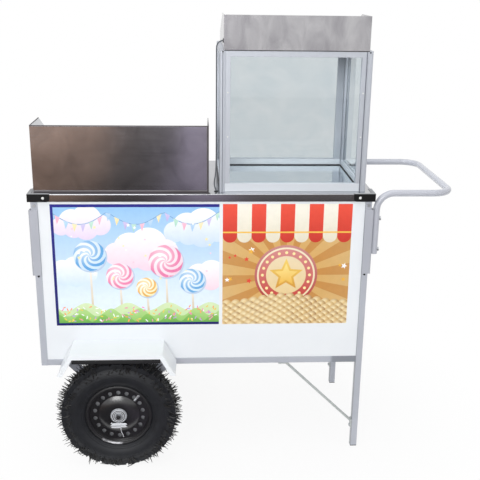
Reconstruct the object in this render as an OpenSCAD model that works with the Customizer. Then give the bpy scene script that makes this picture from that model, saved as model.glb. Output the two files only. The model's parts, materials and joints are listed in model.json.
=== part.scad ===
// Hand-pushed street cart for cotton candy and popcorn: a white cabinet on a grey tube
// frame, two pneumatic wheels, two legs, a stainless table with a spinner bowl behind a
// wind guard, and a glazed popcorn case. Millimetres; X runs along the cart to the handle,
// Y runs from the customer's side to the seller's side, Z is up from the floor.

/* [Table] */
// Length of the table top
table_l = 1100; // [1050:5:1250]
// Depth of the table top from front to back
table_w = 495; // [480:5:560]
// Height of the table top above the floor
table_h = 927; // [900:1:980]
// Thickness of the stainless sheet
sheet = 1.5; // [1:0.1:2]
// Depth of the folded skirt of the table
skirt_h = 25; // [24:1:34]
// Length of a corner protector along each edge
corner_l = 67; // [45:1:90]
// Thickness of a corner protector
corner_t = 3; // [2:0.5:5]
// Width of a corner protector's lip on the table
corner_lip = 9; // [6:1:12]
// Thickness of a corner protector's lip
lip_t = 1; // [0.6:0.1:1.1]

/* [Frame] */
// Side of the square frame tube
tube = 22; // [20:1:25]
// Wall of the frame tube
tube_wall = 2; // [1.5:0.1:2.5]
// Distance from the table's end to the post's outer face
post_gap_x = 6; // [4:0.5:12]
// Distance from the table's edge to the post's outer face
post_gap_y = 3; // [2.5:0.5:6]
// Height of the cabinet's underside above the floor
body_z = 331; // [310:1:350]
// Thickness of the cabinet's painted sheet
panel_t = 1.5; // [1:0.1:2]
// How far the panels lie behind the posts' faces
panel_set = 2; // [1:0.5:3]
// Length of the sleeve on each post
sleeve_l = 219; // [180:1:240]
// Distance from the table top down to the sleeve's upper end
sleeve_drop = 53; // [45:1:70]
// Plate thickness of the sleeve
sleeve_t = 3; // [2:0.5:3]
// Room between the sleeve's web and the post, for the nuts
sleeve_room = 4; // [4:0.5:8]
// Thickness of the plug under each leg
plug_t = 3; // [2:0.5:6]
// Length of the plug inside the leg
plug_l = 15; // [8:1:30]

/* [Leg brace] */
// Horizontal reach of the brace from the leg
brace_run = 258; // [180:1:300]
// Height of the brace's lower end
brace_z = 80; // [60:1:150]
// Diameter of the brace rod
brace_d = 9; // [7:0.5:12]
// Thickness of the brace's end tabs
tab_t = 4; // [3:0.5:6]
// Length of the brace's end tabs
tab_l = 34; // [30:1:44]

/* [Bolts] */
// Diameter of the handle bolts
bolt_d = 8; // [6:0.5:9]
// Diameter of the small frame bolts
small_bolt_d = 6; // [5:0.5:7]
// Head height of the bolts
head_h = 4; // [3:0.5:6]
// Thickness of the handle bolts' nuts
nut_h = 3.5; // [2.5:0.5:4]
// Distance from the table top down to the post bolts
post_bolt_drop = 38; // [36:1:44]

/* [Handle] */
// Diameter of the handle tube
handle_d = 22; // [19:1:28]
// Wall of the handle tube
handle_wall = 2; // [1.5:0.1:2.5]
// Reach of the handle beyond the table's end
handle_reach = 269; // [220:1:320]
// Centre of the handle's arms below the table top
handle_below = 1; // [0:1:20]
// Length of the handle's upright ends below its arms
handle_drop = 204; // [190:1:230]
// Bend radius from upright to arm
handle_bend = 55; // [45:1:65]
// Bend radius at the corners of the grip bar
grip_bend = 62; // [45:1:90]
// Distance between the two bolts of one upright
handle_bolt_gap = 105; // [80:1:115]
// Distance from the upright's end to its lower bolt
handle_bolt_end = 15; // [12:1:25]

/* [Wheels] */
// Diameter of the tyre
tyre_d = 378; // [360:1:390]
// Width of the tyre
tyre_w = 84; // [76:1:90]
// Wall of the tyre
tyre_wall = 9; // [6:0.5:12]
// Width of the tread
tread_w = 62; // [50:1:70]
// Number of lugs on each shoulder of the tread
lugs = 26; // [16:1:32]
// Depth of the grooves between the lugs
lug_depth = 4.5; // [4:0.5:9]
// Width of the grooves between the lugs
lug_gap = 6.5; // [6:0.5:14]
// Diameter of the rim's bead seat
rim_d = 203; // [195:1:208]
// Diameter over the rim's flanges
flange_d = 219; // [214:1:226]
// Width over the rim's flanges
rim_w = 58; // [52:1:64]
// Thickness of the rim's sheet
rim_t = 2.5; // [2:0.1:3]
// Number of holes round the wheel disc
disc_holes = 18; // [12:1:20]
// Diameter of the holes in the wheel disc
disc_hole_d = 14; // [10:0.5:15]
// Diameter of the circle of disc holes
disc_ring_d = 160; // [152:1:166]
// Diameter of the hub tube
hub_d = 48; // [46:1:52]
// Length of the hub
hub_l = 60; // [56:1:64]
// Diameter of the hub's end collars
hub_collar_d = 54; // [53:1:60]
// Outer diameter of the wheel bearings
bearing_d = 40; // [36:1:42]
// Width of a wheel bearing
bearing_w = 12; // [10:1:15]
// Outer diameter of the hollow axle
axle_d = 20; // [17:1:22]
// Bore of the hollow axle
axle_bore = 14.5; // [10:0.5:15]
// Distance from the table's left end to the axle
axle_in = 267.5; // [240:0.5:300]
// Distance from the table's edge out to the wheel's middle plane
wheel_out = 60; // [56:1:70]
// Half width of an axle hanger where it meets the rail
hanger_run = 175; // [150:1:190]
// Outer diameter of the axle bush
bush_d = 40; // [34:1:44]
// Running clearance of shafts and pins, on the radius
run_fit = 0.05; // [0.02:0.01:0.1]

/* [Fenders] */
// Length of a fender's flat top
fender_l = 300; // [280:1:360]
// Height of a fender's top above the floor
fender_z = 420; // [405:1:440]
// How far a fender reaches out past the table's edge
fender_out = 111; // [106:1:125]
// Outward run of a fender's sloping ends
fender_run = 42; // [20:1:50]
// Drop of a fender's sloping ends
fender_drop = 74; // [60:1:80]
// Height of a fender's turned-down lip
lip_h = 15; // [10:1:20]

/* [Wind guard and bowl] */
// Distance from the table's left end to the wind guard
guard_in = 15; // [10:1:25]
// Width of the wind guard
guard_w = 553; // [530:1:560]
// Height of the wind guard
guard_h = 214; // [180:1:240]
// Distance from the table's front edge to the wind guard
guard_set = 20; // [16:1:28]
// Depth of the wind guard's wings
guard_d = 450; // [400:1:455]
// Level length of the wings' top edge
wing_flat = 150; // [100:1:200]
// Height of the guard's wings at the back
guard_tail = 75; // [40:1:120]
// Diameter of the bowl at its rim
bowl_d = 426; // [400:1:436]
// Diameter of the bowl where it passes the table
bowl_neck_d = 368; // [350:1:380]
// Diameter of the bowl's floor
bowl_floor_d = 300; // [240:1:320]
// Height of the bowl's rim above the table
bowl_up = 70; // [40:1:100]
// Depth of the bowl's floor below the table top
bowl_down = 80; // [70:1:88]
// Diameter of the spinner head
spinner_d = 110; // [90:1:130]
// Height of the spinner head
spinner_h = 53; // [45:1:70]
// Number of slots round the spinner head
spinner_slots = 36; // [16:2:40]
// Diameter of the spinner shaft
shaft_d = 10; // [8:0.5:14]
// Diameter of the motor
motor_d = 90; // [80:1:105]
// Length of the motor
motor_l = 105; // [80:1:130]
// Distance from the table top down to the motor's plate
motor_drop = 112; // [104:1:125]

/* [Popcorn case] */
// Distance from the table's left end to the case
case_in = 601; // [590:1:610]
// Width of the case
case_w = 474; // [440:1:484]
// Depth of the case
case_d = 388; // [340:1:410]
// Height of the case
case_h = 442; // [400:1:480]
// Distance from the table's front edge to the case
case_set = 32; // [28:1:40]
// Side of the case's corner posts
case_post = 18; // [16:1:22]
// Height of the case's floor above the table
case_floor_h = 4; // [3:1:12]
// Depth of the glazed frames' bars
bar_d = 16; // [14:1:20]
// Width of the glazed frames' stiles
stile_w = 16; // [14:1:20]
// Height of the glazed frames' top bar
top_bar_h = 18; // [16:1:28]
// Height of the glazed frames' bottom bar
low_bar_h = 26; // [22:1:36]
// Width of the stiles of the case's door
door_stile_w = 24; // [16:1:30]
// Thickness of the glass
glass_t = 4; // [3:0.5:5]
// Gap round the case's door
door_gap = 1.5; // [1:0.1:2.5]
// Distance from the case's end to the header
header_in = 12; // [6:1:40]
// Height of the header
header_h = 104; // [80:1:120]
// Height of the header's wings at the back
header_tail = 35; // [20:1:60]
// Distance from the case's front to the lamp's middle
lamp_in = 180; // [150:1:220]
// Diameter of the lamp under the roof
lamp_d = 110; // [90:1:130]

/* [Cabinet doors] */
// Height of the strip that carries the controls
strip_h = 102; // [98:1:115]
// Depth of the doors' folded rim
door_rim = 12; // [10:1:15]
// Clearance round a cabinet door
cab_gap = 2; // [1.5:0.5:3]
// Radius of the cabinet hinges' knuckles
knuckle_r = 4; // [3.5:0.5:5]
// Height of a cabinet hinge
hinge_h = 60; // [40:1:70]
// Diameter of a door pull
pull_d = 30; // [24:1:40]

/* [Decals] */
// Thickness of the printed vinyl
vinyl_t = 0.4; // [0.3:0.1:0.8]
// Width of the cotton candy decal
candy_w = 537; // [480:1:540]
// Width of the popcorn decal
popcorn_w = 419; // [380:1:424]
// Distance from the bottom rail up to the decals
decal_foot = 123; // [100:1:160]
// Gap between the table's skirt and the decals
decal_top = 9; // [6:1:20]
// Distance from the table's left end to the first decal
decal_in = 65; // [60:1:70]
// Gap between the decals
decal_gap = 11; // [8:1:14]

/* [Hidden] */
$fn = 64;
eps = 0.01;
// Clearance between parts that are slipped together
slip = 0.2;
// Clearance of a bearing in its seat
press = 0.02;

// Places along, across and up
x_left = -(corner_t + table_l + handle_reach) / 2 + corner_t;
x_right = x_left + table_l;
y_front = -table_w / 2;
y_back = table_w / 2;
z_under = table_h - sheet;
post_x0 = x_left + post_gap_x;
post_x1 = x_right - post_gap_x - tube;
post_y0 = y_front + post_gap_y;
post_y1 = y_back - post_gap_y - tube;
rail_top = body_z + tube;
top_rail_z = z_under - tube;
bay_x0 = post_x0 + tube;
bay_x1 = post_x1;
bay_y0 = post_y0 + tube;
bay_y1 = post_y1;
frame_back = post_y1 + tube;
mullion_x = (bay_x0 + bay_x1 - tube) / 2;
mullion_y = frame_back - door_rim - 0.5 - tube;
front_face = post_y0 + panel_set;
decal_z = rail_top + decal_foot;
decal_h = table_h - skirt_h - decal_top - decal_z;

// Sleeves and handle
sleeve_out = sleeve_t + sleeve_room;
sleeve_z1 = table_h - sleeve_drop;
sleeve_z0 = sleeve_z1 - sleeve_l;
handle_x = post_x1 + tube + sleeve_out + handle_d / 2;
grip_x = x_right + handle_reach - handle_d / 2;
handle_z = table_h - handle_below;
handle_y = post_y1 + tube / 2;
handle_end = handle_z - handle_drop;
handle_bolts_z = [handle_end + handle_bolt_end, handle_end + handle_bolt_end + handle_bolt_gap];

// Wheels and axle; distances along the axle are measured outwards
axle_x = x_left + axle_in;
axle_z = tyre_d / 2;
wheel_y = table_w / 2 + wheel_out;
hub_in_y = wheel_y - hub_l / 2;
hub_out_y = wheel_y + hub_l / 2;
bush_l = tube + 8;
bush_out_y = post_y1 + tube / 2 + bush_l / 2;
washer_t = 2.5;
pin_d = 4;
washer_y = hub_out_y + 0.3;
pin_y = washer_y + washer_t + pin_d / 2 + 0.5;
axle_end_y = pin_y + 6;
bead_seat = rim_d / 2 - 0.3;
disc_a = rim_w / 2 - 13;

// Bowl, spinner and motor
guard_x = x_left + guard_in;
bowl_x = guard_x + guard_w / 2;
bowl_hole_d = bowl_neck_d + 2 * sheet + 3;
spinner_z = table_h - bowl_down + 22;
motor_z = table_h - motor_drop;
plate_t = 3;
motor_plate_w = motor_d + 20;

// Popcorn case
case_x = x_left + case_in;
case_y = y_front + case_set;
case_z = table_h;
case_top = table_h + case_h;
frame_h = case_top - case_z;
frame_set = 1.5;
groove_d = 6;
roof_top = case_top + sheet;
header_x = case_x + header_in;
header_w = case_w - 2 * header_in;
case_mid_x = case_x + case_w / 2;
lamp_y = case_y + lamp_in;
case_back = case_y + case_d;
glass_door_w = case_w - 2 * case_post - 2 * door_gap;
glass_door_h = frame_h - 2 * door_gap;
case_knuckle_r = 3;
case_hinge_h = 42;
case_hinges_z = [case_z + 60, case_top - 60 - case_hinge_h];
hinge_gap = 0.3;

// Cabinet doors and controls
strip_z1 = top_rail_z + 12;
strip_z0 = strip_z1 - strip_h;
back_panel_z = fender_z + 16;
door_z0 = back_panel_z + cab_gap;
door_z1 = strip_z0 - cab_gap;
door_w = (bay_x1 - bay_x0 - 3 * cab_gap) / 2;
cab_hinges_z = [door_z0 + 40, door_z1 - 40 - hinge_h];
control_z = strip_z0 + 45;
knob_x = bowl_x + 50;
switch_x = bowl_x + 140;
inlet_x = bowl_x - 130;
switch_w = 30;
switch_h = 22;
switch_tilt = 9;
knob_shaft_d = 6;

// Lamp cable: 4 mm cord from the box on the roof, over the roof, out through the header's
// left wing and down beside the case to a grommet in the table
cable_d = 4;
cable_sides = 8;
cable_hole_back = 26.5;
cable_hole_up = 26.5;
cable_gap = 9;
cable_set = 33.5;
grommet_d = 13;
grommet_hole_d = 9;
grommet_bore_d = cable_d + 1.2;
cable_route = [
    [139, -36, 1377], [118, -37, 1374], [84, -48, 1373], [46, -74, 1373], [10, -108, 1373],
    [-14, -140, 1374], [-32, -166, 1380], [-48, -182, 1389], [-60, -188, 1395],
    [-70, -189, 1397], [-79, -189, 1395], [-86, -190, 1390], [-90, -190, 1382],
    [-91, -191, 1372], [-91, -192, 1340], [-91, -195, 1250], [-91, -198, 1150],
    [-91, -202, 1050], [-92, -206, 1000], [-94, -209, 978], [-97, -212, 960],
    [-97, -213, 948], [-94, -214, 938], [-91, -214, 930], [-91, -214, 922]
];

paint_grey = "#B9BBC6";
paint_white = "#F1F4F8";
stainless = "#8E8A88";
alloy = "#C6CAD4";
zinc = "#BFC2C6";
black = "#1E1E22";
rubber = "#26272B";
glass = [0.81, 0.86, 0.86, 0.35];

// Shared shapes

// Square tube of length l standing on the origin's corner
module tube_z(l) {
    difference() {
        cube([tube, tube, l]);
        translate([tube_wall, tube_wall, -eps])
            cube([tube - 2 * tube_wall, tube - 2 * tube_wall, l + 2 * eps]);
    }
}

module tube_x(l) {
    translate([0, 0, tube]) rotate([0, 90, 0]) tube_z(l);
}

module tube_y(l) {
    translate([0, l, 0]) rotate([90, 0, 0]) tube_z(l);
}

// Round bar along an axis, from a to b
module bar_x(d, a, b) {
    translate([a, 0, 0]) rotate([0, 90, 0]) cylinder(d = d, h = b - a);
}

module bar_y(d, a, b) {
    translate([0, b, 0]) rotate([90, 0, 0]) cylinder(d = d, h = b - a);
}

// Plate cut from an outline in Y and Z, with its thickness along +X
module plate_yz(t) {
    rotate([90, 0, 90]) linear_extrude(t) children();
}

// Plate cut from an outline in X and Z, with its thickness along +Y
module plate_xz(t) {
    translate([0, t, 0]) rotate([90, 0, 0]) linear_extrude(t) children();
}

// Children at the front and, mirrored, at the back
module both_sides() {
    children();
    mirror([0, 1, 0]) children();
}

// Ring with a square section
module ring(d, bore, h) {
    difference() {
        cylinder(d = d, h = h);
        translate([0, 0, -eps]) cylinder(d = bore, h = h + 2 * eps);
    }
}

// Bolt along +X from its head's seat at the origin, with the head towards -X
module bolt_x(d, l) {
    bar_x(1.7 * d, -head_h, 0);
    bar_x(d, 0, l);
}

// Sheet screen with two wings: front plate, wings that fall away and a foot flange
module winged_screen(w, h, d, tail) {
    foot = 12;
    cube([w, sheet, h]);
    for (x = [0, w - sheet]) translate([x, 0, 0]) plate_yz(sheet)
        polygon([[0, 0], [0, h], [wing_flat, h], [d, tail], [d, 0]]);
    difference() {
        cube([w, d, sheet]);
        translate([foot, foot, -eps]) cube([w - 2 * foot, d, sheet + 2 * eps]);
    }
}

// Glazed frame standing in the XZ plane: four bars with a groove for the glass
module glazed_frame(w, h, stile = stile_w) {
    open = [w - 2 * stile, h - low_bar_h - top_bar_h];
    difference() {
        cube([w, bar_d, h]);
        translate([stile, -eps, low_bar_h]) cube([open[0], bar_d + 2 * eps, open[1]]);
        translate([stile - groove_d, (bar_d - glass_t) / 2 - slip, low_bar_h - groove_d])
            cube([open[0] + 2 * groove_d, glass_t + 2 * slip, open[1] + 2 * groove_d]);
    }
}

module glass_pane(w, h, stile = stile_w) {
    reach = groove_d - slip;
    translate([stile - reach, (bar_d - glass_t) / 2, low_bar_h - reach])
        cube([w - 2 * stile + 2 * reach, glass_t, h - low_bar_h - top_bar_h + 2 * reach]);
}

// Places a glazed frame of the case's left or right side
module case_side(right) {
    x = right ? case_x + case_w - frame_set : case_x + frame_set + bar_d;
    translate([x, case_y + case_post, case_z]) rotate([0, 0, 90]) children();
}

// Butt hinge with its pin on the Z axis; the leaf lies on the face at y = -(r + hinge_gap)
module hinge_leaf(r, h, w, t, fixed) {
    face = -r - hinge_gap;
    third = h / 3;
    play = 0.2;
    runs = fixed ? [[0, third - play], [2 * third + play, h]] : [[third + play, 2 * third - play]];
    pin_r = r / 2;
    difference() {
        union() {
            translate([r + hinge_gap, face, 0]) cube([w, t, h]);
            for (run = runs) translate([0, 0, run[0]]) {
                translate([0, face, 0]) cube([r + 2 * hinge_gap, t, run[1] - run[0]]);
                cylinder(r = r, h = run[1] - run[0]);
            }
            if (fixed) cylinder(r = pin_r, h = h);
        }
        if (!fixed) translate([0, 0, -eps]) cylinder(r = pin_r + run_fit, h = h + 2 * eps);
    }
}

// Turned knob along +Y with its base at the origin
module pull_knob(d, l) {
    neck = 0.42 * d;
    rotate([-90, 0, 0]) {
        cylinder(d = neck, h = l);
        translate([0, 0, l - 10]) cylinder(d = d, h = 10);
        cylinder(d = 0.6 * d, h = 3);
    }
}

// Frame

module posts() {
    color(paint_grey) difference() {
        union() for (y = [post_y0, post_y1]) {
            translate([post_x0, y, body_z]) tube_z(z_under - body_z);
            translate([post_x1, y, plug_t]) tube_z(z_under - plug_t);
            translate([mullion_x, mullion_y, rail_top + panel_t]) tube_z(top_rail_z - rail_top - panel_t);
        }
        both_sides() post_holes();
    }
}

// Bolt holes through the walls of the two front posts
module post_holes() {
    hole = small_bolt_d + 2 * slip;
    for (x = [post_x0, post_x1]) translate([x + tube / 2, 0, table_h - post_bolt_drop])
        bar_y(hole, post_y0 - 1, post_y0 + tube_wall + 1);
    translate([0, post_y0 + tube / 2, brace_z]) bar_x(hole, post_x1 - 1, post_x1 + tube_wall + 1);
}

module leg_plugs() {
    inner = tube - 2 * tube_wall - 2 * slip;
    color(black) for (y = [post_y0, post_y1]) translate([post_x1, y, 0]) {
        cube([tube, tube, plug_t]);
        translate([tube_wall + slip, tube_wall + slip, plug_t - eps]) cube([inner, inner, plug_l]);
    }
}

module frame_rails() {
    color(paint_grey) difference() {
        union() {
            for (z = [body_z, top_rail_z]) {
                for (y = [post_y0, post_y1]) translate([bay_x0, y, z]) tube_x(bay_x1 - bay_x0);
                for (x = [post_x0, post_x1]) translate([x, bay_y0, z]) tube_y(bay_y1 - bay_y0);
            }
        }
        both_sides() translate([post_x1 - brace_run, post_y0 + tube / 2, body_z - 1])
            cylinder(d = small_bolt_d + 2 * slip, h = tube_wall + 2);
    }
}

// Cover on the outside of a post: a web that stands off for the nuts, a return at its inner
// edge, and at its outer edge a flange over the post's face (on the front posts) or a return;
// drawn for the left front post
module sleeve(front) {
    edge = front ? sleeve_t : 0;
    flange = front ? sleeve_out + tube : sleeve_out;
    difference() {
        translate([-sleeve_out, -edge, 0]) {
            cube([flange, sleeve_t, sleeve_l]);
            cube([sleeve_t, edge + tube, sleeve_l]);
            translate([0, edge + tube - sleeve_t, 0]) cube([sleeve_out, sleeve_t, sleeve_l]);
        }
        for (z = handle_bolts_z) translate([0, tube / 2, z - sleeve_z0])
            bar_x(bolt_d + 2 * slip, -sleeve_out - 1, -sleeve_room + 1);
    }
}

module post_sleeves() {
    color(paint_grey) for (my = [0, 1]) mirror([0, my, 0]) {
        translate([post_x0, post_y0, sleeve_z0]) sleeve(my == 0);
        translate([post_x1 + tube, post_y0, sleeve_z0]) mirror([1, 0, 0]) sleeve(my == 0);
    }
}

// Rod between a tab under the rail and a tab on the leg
module leg_brace() {
    drop = body_z - brace_z - tab_t;
    run = brace_run - tab_t;
    hole = small_bolt_d + 2 * slip;
    difference() {
        union() {
            translate([-brace_run - tab_l / 4, -tube / 2, body_z - tab_t]) cube([tab_l, tube, tab_t]);
            translate([-tab_t, -tube / 2, brace_z - tab_l / 4]) cube([tab_t, tube, tab_l]);
            translate([-brace_run + tab_l / 2, 0, body_z - tab_t / 2])
                rotate([0, 90 + atan2(drop - tab_l / 2, run - tab_l / 2), 0])
                    cylinder(d = brace_d, h = norm([drop - tab_l / 2, run - tab_l / 2]));
        }
        translate([-brace_run, 0, body_z - tab_t - 1]) cylinder(d = hole, h = tab_t + 2);
        translate([0, 0, brace_z]) bar_x(hole, -tab_t - 1, 1);
        translate([-brace_run - tab_l, -tube, body_z]) cube([2 * tab_l, 2 * tube, brace_d]);
        translate([0, -tube, brace_z - tab_l]) cube([brace_d, 2 * tube, 2 * tab_l]);
    }
}

module leg_braces() {
    color(paint_grey) both_sides() translate([post_x1, post_y0 + tube / 2, 0]) leg_brace();
}

module frame_bolts() {
    wall = tube_wall + 2;
    color(zinc) both_sides() {
        for (z = handle_bolts_z) translate([handle_x, -handle_y, z]) {
            bar_x(1.7 * bolt_d, handle_d / 2 - 1, handle_d / 2 + head_h);
            bar_x(bolt_d, -handle_d / 2 - sleeve_out + slip, handle_d / 2);
            bar_x(1.5 * bolt_d, -handle_d / 2 - sleeve_t - nut_h, -handle_d / 2 - sleeve_t);
        }
        for (x = [post_x0, post_x1])
            translate([x + tube / 2, post_y0, table_h - post_bolt_drop])
                rotate([0, 0, 90]) bolt_x(small_bolt_d, wall);
        translate([post_x1 - tab_t, post_y0 + tube / 2, brace_z]) bolt_x(small_bolt_d, tab_t + wall);
        translate([post_x1 - brace_run, post_y0 + tube / 2, body_z - tab_t])
            rotate([0, -90, 0]) bolt_x(small_bolt_d, tab_t + wall);
    }
}

// Cabinet

module front_panel() {
    color(paint_white) translate([bay_x0, front_face, rail_top])
        cube([bay_x1 - bay_x0, panel_t, top_rail_z - rail_top]);
}

module side_panels() {
    size = [panel_t, bay_y1 - bay_y0, top_rail_z - rail_top];
    color(paint_white) {
        translate([post_x0 + panel_set, bay_y0, rail_top]) cube(size);
        translate([post_x1 + tube - panel_set - panel_t, bay_y0, rail_top]) cube(size);
    }
}

module floor_panel() {
    color(paint_white) translate([bay_x0, front_face + panel_t, rail_top])
        cube([bay_x1 - bay_x0, -2 * (front_face + panel_t), panel_t]);
}

// Fixed panel below the doors, which carries the far fender
module back_panel() {
    color(paint_white) translate([bay_x0, -front_face - panel_t, rail_top])
        cube([bay_x1 - bay_x0, panel_t, back_panel_z - rail_top]);
}

module decals() {
    color("#A9CCF0") translate([x_left + decal_in, front_face - vinyl_t, decal_z])
        cube([candy_w, vinyl_t, decal_h]);
    color("#F04A32") translate([x_left + decal_in + candy_w + decal_gap, front_face - vinyl_t, decal_z])
        cube([popcorn_w, vinyl_t, decal_h]);
}

// Strip behind the table's skirt with the openings for switch, knob and inlet
module control_panel() {
    color(paint_white) difference() {
        translate([bay_x0 + 1, frame_back, strip_z0]) cube([bay_x1 - bay_x0 - 2, panel_t, strip_h]);
        translate([switch_x - switch_w / 2, frame_back - 1, control_z - switch_h / 2])
            cube([switch_w, panel_t + 2, switch_h]);
        translate([knob_x, 0, control_z])
            bar_y(knob_shaft_d + 2 * run_fit, frame_back - 1, frame_back + panel_t + 1);
        translate([inlet_x - 24, frame_back - 1, control_z - 14]) cube([48, panel_t + 2, 28]);
    }
}

module switch_bezel() {
    wall = 2;
    color(black) translate([switch_x, frame_back, control_z]) difference() {
        union() {
            translate([-switch_w / 2 - wall, panel_t, -switch_h / 2 - wall])
                cube([switch_w + 2 * wall, 2, switch_h + 2 * wall]);
            translate([-switch_w / 2 + slip, -14, -switch_h / 2 + slip])
                cube([switch_w - 2 * slip, 14 + panel_t + eps, switch_h - 2 * slip]);
        }
        translate([-switch_w / 2 + wall, -12, -switch_h / 2 + wall])
            cube([switch_w - 2 * wall, 20, switch_h - 2 * wall]);
        translate([0, -4, 0]) bar_x(3 + 2 * run_fit, -switch_w / 2 + 0.8, switch_w / 2 - 0.8);
    }
}

// Rocker on its own pins, resting with its upper end pressed in
module power_switch() {
    w = switch_w - 5;
    color("#B4261E") translate([switch_x, frame_back - 4, control_z]) {
        translate([-w / 2, 0, 0]) rotate([switch_tilt, 0, 0]) plate_yz(w)
            polygon([[-7, -3], [-7, 3], [7.5, 7.3], [6.9, 0], [7.5, -7.3]]);
        bar_x(3, -switch_w / 2 + 1, switch_w / 2 - 1);
    }
}

module heat_control() {
    depth = 16;
    color(black) translate([knob_x, frame_back - depth, control_z]) difference() {
        translate([-15, 0, -15]) cube([30, depth, 30]);
        bar_y(knob_shaft_d + 2 * run_fit, 4, depth + 1);
    }
}

module heat_knob() {
    grips = 12;
    color(black) translate([knob_x, frame_back, control_z]) rotate([-90, 0, 0]) {
        translate([0, 0, -10]) cylinder(d = knob_shaft_d, h = 11 + panel_t);
        difference() {
            translate([0, 0, panel_t + 0.4]) {
                cylinder(d = 34, h = 4);
                cylinder(d = 28, h = 17);
            }
            for (i = [0 : grips - 1]) rotate(i * 360 / grips) translate([15.2, 0, panel_t + 6])
                cylinder(d = 5, h = 20);
            translate([-1, -15, panel_t + 15.4]) cube([2, 13, 5]);
        }
    }
}

// Recessed mains inlet with three flat pins
module power_inlet() {
    color(black) translate([inlet_x, frame_back, control_z]) {
        difference() {
            union() {
                translate([-28, panel_t, -18]) cube([56, 3, 36]);
                translate([-24 + slip, -16, -14 + slip])
                    cube([48 - 2 * slip, 16 + panel_t + eps, 28 - 2 * slip]);
            }
            translate([-13, -13, -9]) cube([26, 20, 18]);
        }
        for (x = [-7, 0, 7]) translate([x - 1, -14, x == 0 ? 0 : -5]) cube([2, 12, 5]);
    }
}

// Fixed leaves with their pins: two for each cabinet door and two for the case's door
module hinge_leaves() {
    color(zinc) {
        for (z = cab_hinges_z) {
            cab_hinge_place(false, z) hinge_leaf(knuckle_r, hinge_h, tube - 8, 1.5, true);
            cab_hinge_place(true, z) hinge_leaf(knuckle_r, hinge_h, tube - 8, 1.5, true);
        }
        for (z = case_hinges_z) case_hinge_place(z)
            hinge_leaf(case_knuckle_r, case_hinge_h, case_post - 6, 1.2, true);
    }
}

// Hinge lines: on the gap between post and door, leaf towards the post; the moving leaf is
// the same shape mirrored towards the door
module cab_hinge_place(right, z) {
    x = right ? bay_x1 - cab_gap / 2 : bay_x0 + cab_gap / 2;
    translate([x, frame_back + knuckle_r + hinge_gap, z])
        mirror([right ? 0 : 1, 0, 0]) children();
}

module case_hinge_place(z) {
    translate([case_x + case_w - case_post - door_gap / 2, case_back + case_knuckle_r + hinge_gap, z])
        children();
}

// Cabinet door: a sheet pan with its rim turned inwards
module door_pan() {
    h = door_z1 - door_z0;
    difference() {
        cube([door_w, door_rim, h]);
        translate([panel_t, -eps, panel_t])
            cube([door_w - 2 * panel_t, door_rim - panel_t, h - 2 * panel_t]);
    }
}

module left_door_place() {
    translate([bay_x0 + cab_gap, frame_back - door_rim, door_z0]) children();
}

module right_door_place() {
    translate([bay_x1 - cab_gap, frame_back - door_rim, door_z0]) mirror([1, 0, 0]) children();
}

module left_door() {
    color(paint_white) left_door_place() door_pan();
}

module right_door() {
    color(paint_white) right_door_place() door_pan();
}

module door_leaves(right) {
    color(zinc) for (z = cab_hinges_z) cab_hinge_place(right, z) mirror([1, 0, 0])
        hinge_leaf(knuckle_r, hinge_h, tube - 6, 1.5, false);
}

module left_door_leaves() {
    door_leaves(false);
}

module right_door_leaves() {
    door_leaves(true);
}

module door_pull() {
    color(black) translate([door_w - 45, door_rim, door_z1 - door_z0 - 120]) pull_knob(pull_d, 28);
}

module left_door_pull() {
    left_door_place() door_pull();
}

module right_door_pull() {
    right_door_place() door_pull();
}

// Table, wind guard and bowl

module table_top() {
    color(stainless) difference() {
        translate([x_left, y_front, table_h - skirt_h]) cube([table_l, table_w, skirt_h]);
        translate([x_left + sheet, y_front + sheet, table_h - skirt_h - eps])
            cube([table_l - 2 * sheet, table_w - 2 * sheet, skirt_h - sheet + eps]);
        translate([bowl_x, 0, z_under - 1]) cylinder(d = bowl_hole_d, h = sheet + 2, $fn = 128);
        table_grommet_place() translate([0, 0, -5]) cylinder(d = grommet_hole_d, h = 10);
    }
}

// Outline of one leg of a protector: its far lower corner is rounded
module corner_outline() {
    r = 9;
    h = skirt_h + lip_t;
    square([corner_l - r, h]);
    translate([0, r]) square([corner_l, h - r]);
    translate([corner_l - r, r]) circle(r);
}

module corner_protectors() {
    color(black) for (mx = [0, 1]) {
        x = mx == 0 ? x_left : x_right;
        both_sides() translate([x, y_front, table_h - skirt_h]) mirror([mx, 0, 0]) {
            translate([0, -corner_t, 0]) plate_xz(corner_t) corner_outline();
            translate([-corner_t, 0, 0]) plate_yz(corner_t) corner_outline();
            translate([-corner_t, -corner_t, 0]) cube([corner_t + eps, corner_t + eps, skirt_h + lip_t]);
            translate([-corner_t, -corner_t, skirt_h]) {
                cube([corner_t + corner_l, corner_t + corner_lip, lip_t]);
                cube([corner_t + corner_lip, corner_t + corner_l, lip_t]);
            }
        }
    }
}

module wind_guard() {
    color(stainless) translate([guard_x, y_front + guard_set, table_h])
        winged_screen(guard_w, guard_h, guard_d, guard_tail);
}

// Spun basin: floor with a hole for the shaft, flared wall, rolled rim, and a collar that
// sits on the table
module bowl() {
    hole_r = 22;
    floor_r = bowl_floor_d / 2;
    neck_r = bowl_neck_d / 2;
    rim_r = bowl_d / 2 - 5;
    roll = 4;
    color("#CFD1D2") translate([bowl_x, 0, table_h]) {
        rotate_extrude($fn = 128) polygon([
            [hole_r, -bowl_down + 10], [hole_r + sheet, -bowl_down + 10], [hole_r + sheet, -bowl_down],
            [floor_r, -bowl_down], [neck_r, 0], [rim_r, bowl_up], [rim_r + sheet, bowl_up],
            [neck_r + sheet + 0.5, sheet], [neck_r + 16, sheet], [neck_r + 16, 0], [neck_r + sheet, 0],
            [floor_r + sheet, -bowl_down - sheet], [hole_r, -bowl_down - sheet]
        ]);
        rotate_extrude($fn = 128) translate([rim_r + sheet, bowl_up]) circle(roll);
    }
}

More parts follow.
